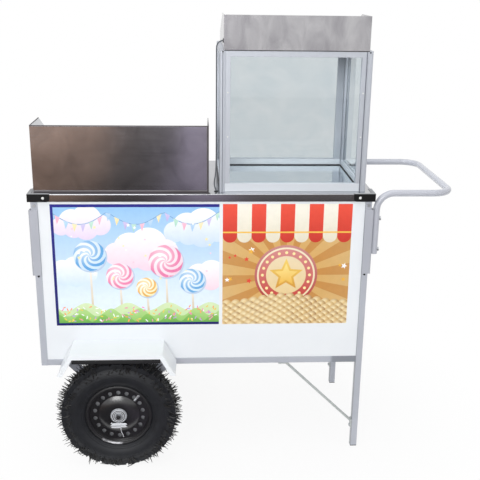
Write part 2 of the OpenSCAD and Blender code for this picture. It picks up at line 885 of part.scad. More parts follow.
// Spinner head: a slotted drum with an open top for the sugar
module spinner_head() {
    r = spinner_d / 2;
    wall = 3;
    hub_r = shaft_d / 2 + 6;
    slot_w = 1.6;
    color("#D8D9DA") translate([bowl_x, 0, spinner_z]) difference() {
        rotate_extrude() {
            translate([shaft_d / 2, 0]) square([r - shaft_d / 2, wall]);
            translate([shaft_d / 2, 0]) square([hub_r - shaft_d / 2, 18]);
            translate([r - wall, 0]) square([wall, spinner_h]);
            translate([0.45 * r, spinner_h - wall]) square([0.55 * r, wall]);
        }
        for (i = [0 : spinner_slots - 1]) rotate(i * 360 / spinner_slots)
            translate([r - wall - 1, -slot_w / 2, wall + 8])
                cube([wall + 2, slot_w, spinner_h - 4 * wall - 10]);
    }
}

module heater_ring() {
    wire_r = 4;
    color("#7A5A48") translate([bowl_x, 0, spinner_z + 3 + wire_r + hinge_gap])
        rotate_extrude() translate([spinner_d / 2 - 15, 0]) circle(wire_r);
}

module spinner_shaft() {
    color("silver") translate([bowl_x, 0, motor_z - 55])
        cylinder(d = shaft_d, h = spinner_z + 18 - motor_z + 55);
}

module motor() {
    fins = 8;
    color("#5B6068") translate([bowl_x, 0, motor_z]) difference() {
        union() {
            translate([0, 0, -motor_l]) cylinder(d = motor_d, h = motor_l);
            translate([0, 0, -4]) cylinder(d = motor_d + 14, h = 4);
            for (i = [0 : fins - 1]) translate([0, 0, -motor_l + 16 + i * 8])
                cylinder(d = motor_d + 6, h = 3);
        }
        translate([0, 0, -56]) cylinder(d = shaft_d + 2 * run_fit, h = 60);
    }
}

// Plate under the bowl with a hanger at each end that hooks under the table's rails
module motor_bracket() {
    w = motor_plate_w;
    end = post_y1 - slip;
    hook = 14;
    color("#8B8F96") translate([bowl_x - w / 2, 0, 0]) {
        difference() {
            translate([0, -end + plate_t + slip, motor_z])
                cube([w, 2 * (end - plate_t - slip), plate_t]);
            translate([w / 2, 0, motor_z - 1]) cylinder(d = shaft_d + 8, h = plate_t + 2);
        }
        both_sides() {
            translate([0, -end, motor_z - plate_t - slip])
                cube([w, plate_t, top_rail_z - motor_z + plate_t + slip]);
            translate([0, -end - hook, top_rail_z - plate_t]) cube([w, hook + eps, plate_t]);
            translate([0, -end, motor_z - plate_t - slip]) cube([w, 30, plate_t]);
        }
    }
}

// Popcorn case

// Floor tray: a shallow pan upside down on the table, inside the frames
module case_floor() {
    set = case_post + slip;
    w = case_w - 2 * set;
    d = case_d - set - bar_d - door_gap;
    color(alloy) translate([case_x + set, case_y + set, table_h]) difference() {
        cube([w, d, case_floor_h]);
        translate([sheet, sheet, -eps]) cube([w - 2 * sheet, d - 2 * sheet, case_floor_h - sheet + eps]);
    }
}

// Corner post of extruded alloy with a rounded outer edge and a shallow groove on each face
module case_corner_post() {
    r = 6;
    seam = 1.2;
    linear_extrude(case_h) difference() {
        union() {
            translate([r, 0]) square([case_post - r, case_post]);
            translate([0, r]) square([case_post, case_post - r]);
            translate([r, r]) circle(r);
        }
        translate([case_post - 3.5, -eps]) square([seam, seam]);
        translate([-eps, case_post - 3.5]) square([seam, seam]);
        translate([7, 7]) square(case_post - 10);
    }
}

module case_posts() {
    color(alloy) for (mx = [0, 1], my = [0, 1])
        translate([case_x + mx * case_w, case_y + my * case_d, table_h])
            mirror([mx, 0, 0]) mirror([0, my, 0]) case_corner_post();
}

module case_frames() {
    color(alloy) {
        translate([case_x + case_post, case_y + frame_set, case_z])
            glazed_frame(case_w - 2 * case_post, frame_h);
        for (right = [false, true]) case_side(right) glazed_frame(case_d - 2 * case_post, frame_h);
    }
}

module front_glass() {
    color(glass) translate([case_x + case_post, case_y + frame_set, case_z])
        glass_pane(case_w - 2 * case_post, frame_h);
}

module side_glasses() {
    color(glass) for (right = [false, true]) case_side(right) glass_pane(case_d - 2 * case_post, frame_h);
}

module case_roof() {
    color(alloy) difference() {
        translate([case_x, case_y, case_top]) cube([case_w, case_d, sheet]);
        translate([case_mid_x, lamp_y, case_top - 1]) cylinder(d = 8, h = sheet + 2);
    }
}

module header_grommet_place() {
    translate([header_x + sheet / 2, case_y + cable_hole_back, roof_top + cable_hole_up])
        rotate([0, -90, 0]) children();
}

module table_grommet_place() {
    translate([case_x - cable_gap, y_front + cable_set, table_h - sheet / 2]) children();
}

module header() {
    color(stainless) difference() {
        translate([header_x, case_y, roof_top])
            winged_screen(header_w, header_h, case_d, header_tail);
        header_grommet_place() translate([0, 0, -5]) cylinder(d = grommet_hole_d, h = 10);
    }
}

// Door between the two rear posts, flush with their backs
module case_door_place() {
    translate([case_x + case_post + door_gap, case_back - bar_d, case_z + door_gap]) children();
}

module case_door_frame() {
    color(alloy) case_door_place() glazed_frame(glass_door_w, glass_door_h, door_stile_w);
}

module case_door_glass() {
    color(glass) case_door_place() glass_pane(glass_door_w, glass_door_h, door_stile_w);
}

module case_door_leaves() {
    color(zinc) for (z = case_hinges_z) case_hinge_place(z) mirror([1, 0, 0])
        hinge_leaf(case_knuckle_r, case_hinge_h, door_stile_w - 8, 1.2, false);
}

module case_door_knob() {
    color(black) case_door_place()
        translate([door_stile_w / 2, bar_d, glass_door_h / 2]) pull_knob(16, 20);
}

// Flat lamp: base under the roof, with its terminal box above the roof
module lamp_base() {
    color("white") translate([case_mid_x, lamp_y, 0]) {
        translate([0, 0, case_top - 12]) cylinder(d = lamp_d, h = 12);
        translate([0, 0, case_top - eps]) cylinder(d = 7, h = sheet + 2 * eps);
        translate([-16, -11, roof_top]) cube([32, 22, 14]);
    }
}

module lamp_cover() {
    r = lamp_d / 2 - 4;
    wall = 2;
    depth = 16;
    color("#F4F1E4") translate([case_mid_x, lamp_y, case_top - 12]) rotate_extrude() {
        translate([r - wall, -depth + 6]) square([wall, depth - 6]);
        translate([0, -depth]) square([r - 6, wall]);
        polygon([[r - 6, -depth], [r, -depth + 6], [r - wall, -depth + 6], [r - 6, -depth + wall]]);
    }
}

// Rubber grommet round the cable, clipped over the sheet's edge
module grommet() {
    flange_t = 2;
    difference() {
        union() {
            for (s = [-1, 1]) translate([0, 0, s * (sheet / 2 + flange_t / 2) - flange_t / 2])
                cylinder(d = grommet_d, h = flange_t);
            cylinder(d = grommet_hole_d - slip, h = sheet + 2 * eps, center = true);
        }
        cylinder(d = grommet_bore_d, h = 20, center = true);
    }
}

module cable_grommets() {
    color(black) {
        header_grommet_place() grommet();
        table_grommet_place() grommet();
    }
}

// Smooth curve through the cable's points, two steps to a span
function spline(p, i, t) =
    let (n = len(p) - 1, a = p[max(i - 1, 0)], b = p[i], c = p[min(i + 1, n)], d = p[min(i + 2, n)])
    0.5 * (2 * b + (c - a) * t + (2 * a - 5 * b + 4 * c - d) * t * t
           + (3 * b - a - 3 * c + d) * t * t * t);

function unit(v) = v / norm(v);

function curve(p, steps) = [
    for (i = [0 : len(p) - 2], s = [0 : steps - 1]) spline(p, i, s / steps),
    p[len(p) - 1]
];

// Tube of radius r along the points, as one closed skin
module swept_tube(path, r, sides) {
    n = len(path) - 1;
    rings = [for (i = [0 : n])
        let (t = unit(path[min(i + 1, n)] - path[max(i - 1, 0)]),
             u = unit(cross(t, [0.3, 1, 0.2])), w = cross(t, u))
        for (k = [0 : sides - 1]) path[i] + r * (cos(k * 360 / sides) * u + sin(k * 360 / sides) * w)];
    walls = [for (i = [0 : n - 1], k = [0 : sides - 1])
        let (a = i * sides + k, b = i * sides + (k + 1) % sides)
        each [[a, b + sides, b], [a, a + sides, b + sides]]];
    ends = concat(
        [for (k = [1 : sides - 2]) [0, k, k + 1]],
        [for (k = [1 : sides - 2]) [n * sides, n * sides + k + 1, n * sides + k]]);
    polyhedron(points = rings, faces = concat(walls, ends));
}

module lamp_cable() {
    color("#3A3D40") swept_tube(curve(cable_route, 2), cable_d / 2, cable_sides);
}

// Handle

// Whole run of the handle as a bar of diameter d, extended by e past its two ends
module handle_run(d, e) {
    arm_x0 = handle_x + handle_bend;
    arm_x1 = grip_x - grip_bend;
    both_sides() {
        translate([handle_x, -handle_y, handle_end - e])
            cylinder(d = d, h = handle_drop - handle_bend + e);
        translate([arm_x0, -handle_y, handle_z - handle_bend]) rotate([90, 0, 180])
            rotate_extrude(angle = 90) translate([handle_bend, 0]) circle(d = d);
        translate([0, -handle_y, handle_z]) bar_x(d, arm_x0, arm_x1);
        translate([arm_x1, -handle_y + grip_bend, handle_z]) rotate([0, 0, -90])
            rotate_extrude(angle = 90) translate([grip_bend, 0]) circle(d = d);
    }
    translate([grip_x, 0, handle_z]) bar_y(d, -handle_y + grip_bend, handle_y - grip_bend);
}

module handle() {
    color(paint_grey) difference() {
        handle_run(handle_d, 0);
        handle_run(handle_d - 2 * handle_wall, 1);
        both_sides() for (z = handle_bolts_z) translate([handle_x, -handle_y, z]) {
            bar_x(bolt_d + 2 * slip, -handle_d, handle_d);
            bar_x(1.7 * bolt_d + 2 * slip, handle_d / 2 - 1, handle_d);
        }
    }
}

// Wheels

// Wheel frame: axis along Z pointing outwards, centre of the tyre at the origin
module wheel_place(far) {
    translate([axle_x, far ? wheel_y : -wheel_y, axle_z]) rotate([far ? -90 : 90, 0, 0]) children();
}

// Tyre section: round carcass, flat tread and two beads, open to the rim
module tyre_section() {
    r = tyre_w / 2;
    crown = 2;
    mid = tyre_d / 2 - crown - r;
    bead_w = 13;
    bead_in = rim_w / 2 - rim_t - 1.5;
    difference() {
        union() {
            translate([mid, 0]) circle(r);
            translate([mid, -tread_w / 2]) square([tyre_d / 2 - mid, tread_w]);
            for (s = [-1, 1]) translate([rim_d / 2, s * (bead_in - bead_w / 2) - bead_w / 2])
                square([mid - r + 24 - rim_d / 2, bead_w]);
        }
        translate([mid - 3, 0]) circle(r - tyre_wall);
        translate([rim_d / 2 - 5, -bead_in + bead_w]) square([mid - rim_d / 2, 2 * (bead_in - bead_w)]);
    }
}

module tyre() {
    rib_w = 7;
    color(rubber) difference() {
        rotate_extrude($fn = 128) tyre_section();
        for (i = [0 : lugs - 1], s = [0, 1])
            rotate((i + s / 2) * 360 / lugs) mirror([0, 0, s])
                translate([tyre_d / 2 - lug_depth, -lug_gap / 2, rib_w])
                    cube([2 * lug_depth, lug_gap, tyre_w]);
    }
}

// Upper half of the rim barrel's inner and outer lines, from the well out to the flange
inner_line = [
    [rim_d / 2 - 13 - rim_t, 9], [bead_seat - rim_t, 15], [bead_seat - rim_t, rim_w / 2 - rim_t],
    [flange_d / 2 - rim_t, rim_w / 2]
];
outer_line = [
    [rim_d / 2 - 13, 9.4], [bead_seat, 15.4], [bead_seat, rim_w / 2 - rim_t - 1],
    [flange_d / 2, rim_w / 2 - rim_t], [flange_d / 2, rim_w / 2]
];

function flipped(line) = [for (i = [len(line) - 1 : -1 : 0]) [line[i][0], -line[i][1]]];

function backwards(line) = [for (i = [len(line) - 1 : -1 : 0]) line[i]];

// Dished wheel disc, welded to the barrel near its outer bead
module disc_section() {
    rise = 5;
    ring_in = disc_ring_d / 2 - disc_hole_d / 2 - 9;
    boss = hub_d / 2 + slip / 4;
    polygon([
        [bead_seat - rim_t / 2, disc_a], [ring_in, disc_a], [ring_in - 12, disc_a + rise],
        [boss, disc_a + rise], [boss, disc_a + rise + rim_t], [ring_in - 11, disc_a + rise + rim_t],
        [ring_in + 1, disc_a + rim_t], [bead_seat - rim_t / 2, disc_a + rim_t]
    ]);
}

module rim() {
    color(black) difference() {
        union() {
            rotate_extrude($fn = 128)
                polygon(concat(flipped(inner_line), inner_line,
                               backwards(outer_line), backwards(flipped(outer_line))));
            rotate_extrude($fn = 128) disc_section();
        }
        for (i = [0 : disc_holes - 1]) rotate((i + 0.5) * 360 / disc_holes)
            translate([disc_ring_d / 2, 0, disc_a - 2]) cylinder(d = disc_hole_d, h = 12);
    }
}

// Ball bearing seen as one ring with its shields set back
module bearing() {
    r0 = axle_d / 2 + run_fit;
    r1 = bearing_d / 2 - press;
    shield = (r1 - r0) * 0.3;
    rotate_extrude() difference() {
        translate([r0, 0]) square([r1 - r0, bearing_w]);
        for (z = [-1, bearing_w - 0.8]) translate([r0 + shield, z])
            square([r1 - r0 - 2 * shield, 1.8]);
    }
}

// Hub tube with end collars, and a bearing in each end
module hub() {
    collar_w = 5;
    color(zinc) translate([0, 0, -hub_l / 2]) {
        difference() {
            union() {
                cylinder(d = hub_d, h = hub_l);
                cylinder(d = hub_collar_d, h = collar_w);
                translate([0, 0, hub_l - collar_w]) cylinder(d = hub_collar_d, h = collar_w);
            }
            translate([0, 0, -1]) cylinder(d = bearing_d, h = hub_l + 2);
        }
        bearing();
        translate([0, 0, hub_l - bearing_w]) bearing();
    }
}

module near_tyre() {
    wheel_place(false) tyre();
}

module near_rim() {
    wheel_place(false) rim();
}

module near_hub() {
    wheel_place(false) hub();
}

module far_tyre() {
    wheel_place(true) tyre();
}

module far_rim() {
    wheel_place(true) rim();
}

module far_hub() {
    wheel_place(true) hub();
}

// Hollow axle with a shoulder inside each wheel and a cross hole for each pin
module axle() {
    shoulder_d = axle_d + 10;
    color(zinc) translate([axle_x, 0, axle_z]) difference() {
        union() {
            bar_y(axle_d, -axle_end_y, axle_end_y);
            both_sides() bar_y(shoulder_d, -hub_in_y + 0.3, -bush_out_y);
        }
        bar_y(axle_bore, -axle_end_y - 1, axle_end_y + 1);
        both_sides() translate([0, -pin_y, -axle_d]) cylinder(d = pin_d + 2 * slip, h = 2 * axle_d);
    }
}

// V-shaped hanger below a rail, with a seat for the axle bush
module hanger() {
    seat = bush_d / 2 + 10;
    drop = body_z - axle_z;
    foot = tube * 1.4;
    difference() {
        union() {
            difference() {
                polygon([[-hanger_run, drop], [-seat, -seat * 0.4],
                         [seat, -seat * 0.4], [hanger_run, drop]]);
                polygon([[-hanger_run + foot, drop + eps], [0, -seat * 0.4 + foot],
                         [hanger_run - foot, drop + eps]]);
            }
            circle(seat);
        }
        circle(d = bush_d + slip);
    }
}

module axle_struts() {
    color(paint_grey) for (y = [post_y0, post_y1])
        translate([axle_x, y, axle_z]) plate_xz(tube) hanger();
}

module axle_bushes() {
    color(zinc) both_sides() translate([axle_x, -bush_out_y + bush_l, axle_z]) rotate([90, 0, 0])
        ring(bush_d, axle_d + slip, bush_l);
}

// Washer and split pin at each end of the axle
module axle_fixings() {
    eye = 6;
    color(zinc) both_sides() translate([axle_x, 0, axle_z]) {
        translate([0, -washer_y, 0]) rotate([90, 0, 0]) ring(axle_d + 11, axle_d + 2 * slip, washer_t);
        translate([0, -pin_y, -axle_d]) cylinder(d = pin_d, h = 2 * axle_d - 2);
        translate([0, -pin_y, -axle_d - eye + 1]) rotate([90, 0, 0])
            rotate_extrude() translate([eye, 0]) circle(d = pin_d - 1);
    }
}

// Fenders

// Outline of the fender's end view, from its left foot over the top to its right foot,
// with a band of width b measured down from the top
module fender_outline(b) {
    half = fender_l / 2;
    slope = fender_run / fender_drop;
    bx = b * norm([1, slope]);
    corner = half - bx + b * slope;
    polygon([
        [-half - fender_run, -fender_drop], [-half, 0], [half, 0], [half + fender_run, -fender_drop],
        [half + fender_run - bx, -fender_drop], [corner, -b], [-corner, -b],
        [-half - fender_run + bx, -fender_drop]
    ]);
}

module fender() {
    y_lip = -y_back - fender_out;
    y_wall = front_face;
    flange_h = 20;
    translate([axle_x, 0, fender_z]) {
        translate([0, y_lip, 0]) plate_xz(sheet) fender_outline(lip_h);
        translate([0, y_lip, 0]) plate_xz(post_y0 - 0.5 - y_lip) fender_outline(sheet);
        translate([-fender_l / 2, post_y0 - 1, -sheet]) cube([fender_l, y_wall - post_y0 + 1, sheet]);
        translate([-fender_l / 2, y_wall - sheet, -flange_h]) cube([fender_l, sheet, flange_h]);
    }
}

module fenders() {
    color(paint_white) {
        fender();
        mirror([0, 1, 0]) fender();
    }
}

posts();
leg_plugs();
frame_rails();
post_sleeves();
leg_braces();
frame_bolts();
front_panel();
side_panels();
floor_panel();
back_panel();
decals();
control_panel();
switch_bezel();
power_switch();
heat_control();
heat_knob();
power_inlet();
hinge_leaves();
left_door();
left_door_leaves();
left_door_pull();
right_door();
right_door_leaves();
right_door_pull();
table_top();
corner_protectors();
wind_guard();
bowl();
spinner_head();
heater_ring();
spinner_shaft();
motor();
motor_bracket();
case_floor();
case_posts();
case_frames();
front_glass();
side_glasses();
case_roof();
header();
case_door_frame();
case_door_glass();
case_door_leaves();
case_door_knob();
lamp_base();
lamp_cover();
cable_grommets();
lamp_cable();
handle();
axle();
axle_struts();
axle_bushes();
axle_fixings();
fenders();
near_tyre();
near_rim();
near_hub();
far_tyre();
far_rim();
far_hub();
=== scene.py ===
import json
import math
import random

import bmesh
import bpy
from mathutils import Matrix, Vector
from mathutils.geometry import delaunay_2d_cdt


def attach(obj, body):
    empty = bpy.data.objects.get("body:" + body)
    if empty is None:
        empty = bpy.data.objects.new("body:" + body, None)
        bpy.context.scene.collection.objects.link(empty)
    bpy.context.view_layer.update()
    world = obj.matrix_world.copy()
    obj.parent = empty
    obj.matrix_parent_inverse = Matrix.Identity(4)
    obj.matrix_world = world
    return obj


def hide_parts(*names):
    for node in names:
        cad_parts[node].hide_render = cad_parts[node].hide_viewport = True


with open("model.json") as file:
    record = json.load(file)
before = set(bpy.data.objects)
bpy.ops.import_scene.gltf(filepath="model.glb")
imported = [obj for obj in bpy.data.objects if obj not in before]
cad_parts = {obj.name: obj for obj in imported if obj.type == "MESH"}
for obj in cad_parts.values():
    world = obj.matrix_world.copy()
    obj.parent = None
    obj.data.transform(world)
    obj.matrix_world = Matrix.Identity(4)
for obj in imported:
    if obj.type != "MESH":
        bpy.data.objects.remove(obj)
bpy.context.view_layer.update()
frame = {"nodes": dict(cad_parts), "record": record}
NODES = frame["nodes"]
BODY_OF = {n: body for body, names in frame["record"]["behaviour"]["bodies"].items() for n in names}
SLOT_OF = {n: o.data.materials[0].name for n, o in NODES.items()}
MM = 0.001
SHARP = 40    # degrees: a sharper edge is rounded on a solid, and kept crisp on a fine piece


def put(name, data):
    """A new object in the scene."""
    made = bpy.data.objects.new(name, data)
    bpy.context.collection.objects.link(made)
    return made


# Camera, at the photograph's place; its angles are in degrees

LENS_MM, SENSOR_MM = 59.94, 36
CAMERA_PLACE = (-0.15348, -2.70237, 1.57436)
CAMERA_TURN, CAMERA_DIP, CAMERA_ROLL = -3.2465, 18.0376, 0.78935


def place_camera():
    data = bpy.data.cameras.new("photo_camera")
    data.lens = LENS_MM
    data.sensor_width = SENSOR_MM
    camera = put("photo_camera", data)
    turn, tilt, roll = (math.radians(a) for a in (CAMERA_TURN, 90 - CAMERA_DIP, CAMERA_ROLL))
    camera.matrix_world = (
        Matrix.Translation(CAMERA_PLACE)
        @ Matrix.Rotation(turn, 4, "Z") @ Matrix.Rotation(tilt, 4, "X") @ Matrix.Rotation(roll, 4, "Z"))
    bpy.context.scene.camera = camera


place_camera()


# Helpers for meshes and materials

def srgb(code):
    """A hex colour as linear red, green, blue and alpha."""
    parts = [int(code[i:i + 2], 16) / 255 for i in (1, 3, 5)]
    return [c / 12.92 if c <= 0.04045 else ((c + 0.055) / 1.055) ** 2.4 for c in parts] + [1.0]


def add(tree, kind, inputs=None, **settings):
    """A new node with its settings; each input is a value, a socket, or a node whose output in use feeds it."""
    made = tree.nodes.new(kind)
    for name, value in settings.items():
        setattr(made, name, value)
    for key, value in (inputs or {}).items():
        if isinstance(value, bpy.types.Node):
            value = next(socket for socket in value.outputs if socket.enabled)
        if isinstance(value, bpy.types.NodeSocket):
            tree.links.new(value, made.inputs[key])
        else:
            made.inputs[key].default_value = value
    return made


def blank(name):
    """An empty material: its tree and the object's own coordinates."""
    material = bpy.data.materials.new(name)
    material.use_nodes = True
    tree = material.node_tree
    tree.nodes.clear()
    return material, tree, add(tree, "ShaderNodeTexCoord").outputs["Object"]


def surfaced(material, look):
    """Ends a material with its shader; look holds what goes into the shader."""
    shader = add(material.node_tree, "ShaderNodeBsdfPrincipled", look)
    add(material.node_tree, "ShaderNodeOutputMaterial", {"Surface": shader})
    return material


def per_m(size_mm):
    """Pattern scale that gives features of this size."""
    return 1000 / size_mm


def clad(mesh, material):
    """Leaves a mesh with this one material."""
    mesh.materials.clear()
    mesh.materials.append(material)


def new_piece(name, mesh, material):
    if material:
        clad(mesh, material)
    return put(name, mesh)


def settle(piece, body, slot, *nodes):
    """A finished piece rides its body and stands for the nodes that it covers; slot is not used."""
    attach(piece, body)
    if nodes:
        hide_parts(*nodes)
    return piece


def bake(piece):
    """Turns what the piece's modifiers give into its plain mesh."""
    graph = bpy.context.evaluated_depsgraph_get()
    mesh = bpy.data.meshes.new_from_object(
        piece.evaluated_get(graph), preserve_all_data_layers=True, depsgraph=graph)
    piece.modifiers.clear()
    piece.data = mesh


def shade(bm, angle=32):
    """Smooth faces, with the edges above this angle kept crisp."""
    for face in bm.faces:
        face.smooth = True
        face.material_index = 0
    for edge in bm.edges:
        edge.smooth = len(edge.link_faces) == 2 and edge.calc_face_angle(0) < math.radians(angle)


def as_mesh(bm, name):
    """The worked form as a mesh of this name."""
    mesh = bpy.data.meshes.new(name)
    bm.to_mesh(mesh)
    bm.free()
    return mesh


# Finishes

def bands(tree, place, found_at):
    """How far a place lies in any of the bands. Each has a weight and ramps: an axis, and where in mm the
    ramp starts and is full."""
    parts = add(tree, "ShaderNodeSeparateXYZ", {"Vector": place}).outputs
    most = 0.0
    for weight, ramps in found_at:
        inside = weight
        for axis, start, full in ramps:
            ramp = add(tree, "ShaderNodeMapRange", {"Value": parts[axis], 1: start * MM, 2: full * MM})
            inside = add(tree, "ShaderNodeMath", {0: ramp, 1: inside}, operation="MULTIPLY")
        most = add(tree, "ShaderNodeMath", {0: inside, 1: most}, operation="MAXIMUM")
    return most


def lay_painted_light(tree, place, tone, painted_light):
    """Lays painted light and shade over a tone, each a colour and the bands where it is found."""
    for colour, where in painted_light:
        tone = add(tree, "ShaderNodeMix", {0: bands(tree, place, where), 6: tone, 7: srgb(colour)}, data_type="RGBA")
    return tone


def enamel(name, tint, shade_tint, roughness, peel_mm=2.2, coat=0.3, coat_roughness=0.12, painted_light=(), glint_bands=()):
    """Sprayed gloss enamel on steel: an even tone with a faint orange peel under a glossy skin. Painted light or shade
    is a colour and its bands, and in the glint bands ragged patches are painted as a bright metal highlight."""
    material, tree, place = blank(name)
    cloud = add(tree, "ShaderNodeTexNoise", {"Vector": place, "Scale": per_m(160), "Detail": 3.0})
    even = add(tree, "ShaderNodeMix", {0: cloud, 6: srgb(shade_tint), 7: srgb(tint)}, data_type="RGBA")
    tone, metal = lay_painted_light(tree, place, even, painted_light), 0.0
    # Painted highlight: bright metal laid in ragged patches over the glint bands
    if glint_bands:
        ragged = add(tree, "ShaderNodeTexNoise", {"Vector": place, "Scale": per_m(9), "Detail": 3.0})
        cut = add(tree, "ShaderNodeMath", {0: bands(tree, place, glint_bands), 1: ragged}, operation="MULTIPLY")
        metal = add(tree, "ShaderNodeMapRange", {"Value": cut, 1: 0.12, 2: 0.5})
        tone = add(tree, "ShaderNodeMix", {0: metal, 6: tone, 7: srgb("#C4C4C8")}, data_type="RGBA")
    peel = add(tree, "ShaderNodeTexNoise", {"Vector": place, "Scale": per_m(peel_mm), "Detail": 1.0})
    bump = add(tree, "ShaderNodeBump", {"Strength": 0.12, "Distance": 0.0001, "Height": peel})
    gloss = add(tree, "ShaderNodeMapRange", {"Value": cloud, 3: roughness - 0.04, 4: roughness + 0.05})
    return surfaced(material, {"Base Color": tone, "Roughness": gloss, "Normal": bump, "Metallic": metal, "IOR": 1.5,
                               "Coat Weight": coat, "Coat Roughness": coat_roughness})


def rolled_steel(name, tint, shade_tint, roughness, grain_axis, wave=0.0015, smear_mm=70, contrast=1.0, shade_bands=(),
                 wipe=(1, 1, 1)):
    """Bright-rolled sheet: mirror-like, with long rolling grain, wiping smears and slightly buckled flats;
    in the shade bands it is made darker and duller, as painted shade."""
    material, tree, place = blank(name)
    stretch = [per_m(0.9)] * 3
    stretch[grain_axis] = per_m(120)
    laid = add(tree, "ShaderNodeMapping", {"Vector": place, "Scale": stretch})
    grain = add(tree, "ShaderNodeTexNoise", {"Vector": laid, "Scale": 1.0, "Detail": 2.0})
    buckle = add(tree, "ShaderNodeTexNoise", {"Vector": place, "Scale": per_m(230), "Detail": 1.0, "Roughness": 0.35})
    wiped = add(tree, "ShaderNodeMapping", {"Vector": place, "Scale": wipe})
    smear = add(tree, "ShaderNodeTexNoise", {"Vector": wiped, "Scale": per_m(smear_mm), "Detail": 5.0,
                                             "Distortion": 0.8})
    patch = add(tree, "ShaderNodeMapRange", {"Value": smear, 1: 0.5 - 0.5 / contrast, 2: 0.5 + 0.5 / contrast})
    clean = add(tree, "ShaderNodeMix", {0: patch, 6: srgb(shade_tint), 7: srgb(tint)}, data_type="RGBA")
    # Painted shade: the shade bands darken the tone and raise the roughness
    shade_share = bands(tree, place, shade_bands)
    tone = add(tree, "ShaderNodeMix", {0: shade_share, 6: clean, 7: srgb("#5A5558")}, data_type="RGBA")
    shaded_gloss = add(tree, "ShaderNodeMapRange", {"Value": shade_share, 3: roughness, 4: 0.6})
    fine = add(tree, "ShaderNodeMapRange", {"Value": grain, 3: -0.04, 4: 0.05})
    gloss = add(tree, "ShaderNodeMath", {0: shaded_gloss, 1: fine}, operation="ADD")
    flats = add(tree, "ShaderNodeBump", {"Strength": 1.0, "Distance": wave, "Height": buckle})
    bump = add(tree, "ShaderNodeBump", {"Strength": 0.05, "Distance": 0.0001, "Height": grain, "Normal": flats})
    return surfaced(material, {"Base Color": tone, "Roughness": gloss, "Normal": bump, "Metallic": 1.0})


def plated(name, tint, shade_tint, roughness, spangle_mm, metal=1.0):
    """Zinc plate or bare steel: a bright metal whose tone and gloss change in small patches."""
    material, tree, place = blank(name)
    patch = add(tree, "ShaderNodeTexNoise", {"Vector": place, "Scale": per_m(spangle_mm), "Detail": 3.0})
    tone = add(tree, "ShaderNodeMix", {0: patch, 6: srgb(shade_tint), 7: srgb(tint)}, data_type="RGBA")
    gloss = add(tree, "ShaderNodeMapRange", {"Value": patch, 3: roughness - 0.08, 4: roughness + 0.1})
    bump = add(tree, "ShaderNodeBump", {"Strength": 0.1, "Distance": 0.0001, "Height": patch})
    return surfaced(material, {"Base Color": tone, "Roughness": gloss, "Normal": bump, "Metallic": metal})


def extruded(name, tint, shade_tint, axis, roughness=0.42, painted_light=()):
    """Natural anodised extrusion: satin, with fine die lines along the bar; painted light or shade is a colour and its
    bands.
    """
    material, tree, place = blank(name)
    stretch = [per_m(0.7)] * 3
    stretch[axis] = per_m(400)
    laid = add(tree, "ShaderNodeMapping", {"Vector": place, "Scale": stretch})
    lines = add(tree, "ShaderNodeTexNoise", {"Vector": laid, "Scale": 1.0, "Detail": 2.0})
    even = add(tree, "ShaderNodeMix", {0: lines, 6: srgb(shade_tint), 7: srgb(tint)}, data_type="RGBA")
    gloss = add(tree, "ShaderNodeMapRange", {"Value": lines, 3: roughness - 0.05, 4: roughness + 0.06})
    bump = add(tree, "ShaderNodeBump", {"Strength": 0.08, "Distance": 0.0001, "Height": lines})
    return surfaced(material, {"Base Color": lay_painted_light(tree, place, even, painted_light), "Roughness": gloss, "Normal": bump,
                               "Metallic": 0.3})


def moulded(name, tint, shade_tint, roughness, grain_mm, depth=0.25, ior=1.5, painted_light=()):
    """Moulded plastic or rubber: fine spark grain from the mould and a slightly dusty tone; painted light or shade is
    a colour and its bands."""
    material, tree, place = blank(name)
    grain = add(tree, "ShaderNodeTexNoise", {"Vector": place, "Scale": per_m(grain_mm), "Detail": 2.0})
    dust = add(tree, "ShaderNodeTexNoise", {"Vector": place, "Scale": per_m(25), "Detail": 4.0})
    even = add(tree, "ShaderNodeMix", {0: dust, 6: srgb(shade_tint), 7: srgb(tint)}, data_type="RGBA")
    gloss = add(tree, "ShaderNodeMapRange", {"Value": dust, 3: roughness - 0.06, 4: roughness + 0.08})
    bump = add(tree, "ShaderNodeBump", {"Strength": depth, "Distance": 0.0002, "Height": grain})
    return surfaced(material, {"Base Color": lay_painted_light(tree, place, even, painted_light), "Roughness": gloss, "Normal": bump,
                               "IOR": ior})


def float_glass():
    """Clear float glass, 4 mm: a trace of green, and dust and wiping marks in its tint and gloss."""
    material, tree, place = blank("float_glass_clear")
    wipe = add(tree, "ShaderNodeTexNoise", {"Vector": place, "Scale": per_m(150), "Detail": 3.0, "Distortion": 1.5})
    tint = add(tree, "ShaderNodeMix", {0: wipe, 6: srgb("#EBEFF1"), 7: srgb("#F5F6F6")}, data_type="RGBA")
    gloss = add(tree, "ShaderNodeMapRange", {"Value": wipe, 3: 0.0, 4: 0.05})
    clear = add(tree, "ShaderNodeBsdfTransparent", {"Color": tint})
    mirror = add(tree, "ShaderNodeBsdfAnisotropic", {"Color": srgb("#FFFFFF"), "Roughness": gloss})
    bounce = add(tree, "ShaderNodeFresnel", {"IOR": 1.5})
    inner = add(tree, "ShaderNodeNewGeometry").outputs["Backfacing"]
    front = add(tree, "ShaderNodeMath", {0: 1.0, 1: inner}, operation="SUBTRACT")
    share = add(tree, "ShaderNodeMath", {0: bounce, 1: front}, operation="MULTIPLY")
    mixed = add(tree, "ShaderNodeMixShader", {0: share, 1: clear, 2: mirror})
    add(tree, "ShaderNodeOutputMaterial", {"Surface": mixed})
    return material


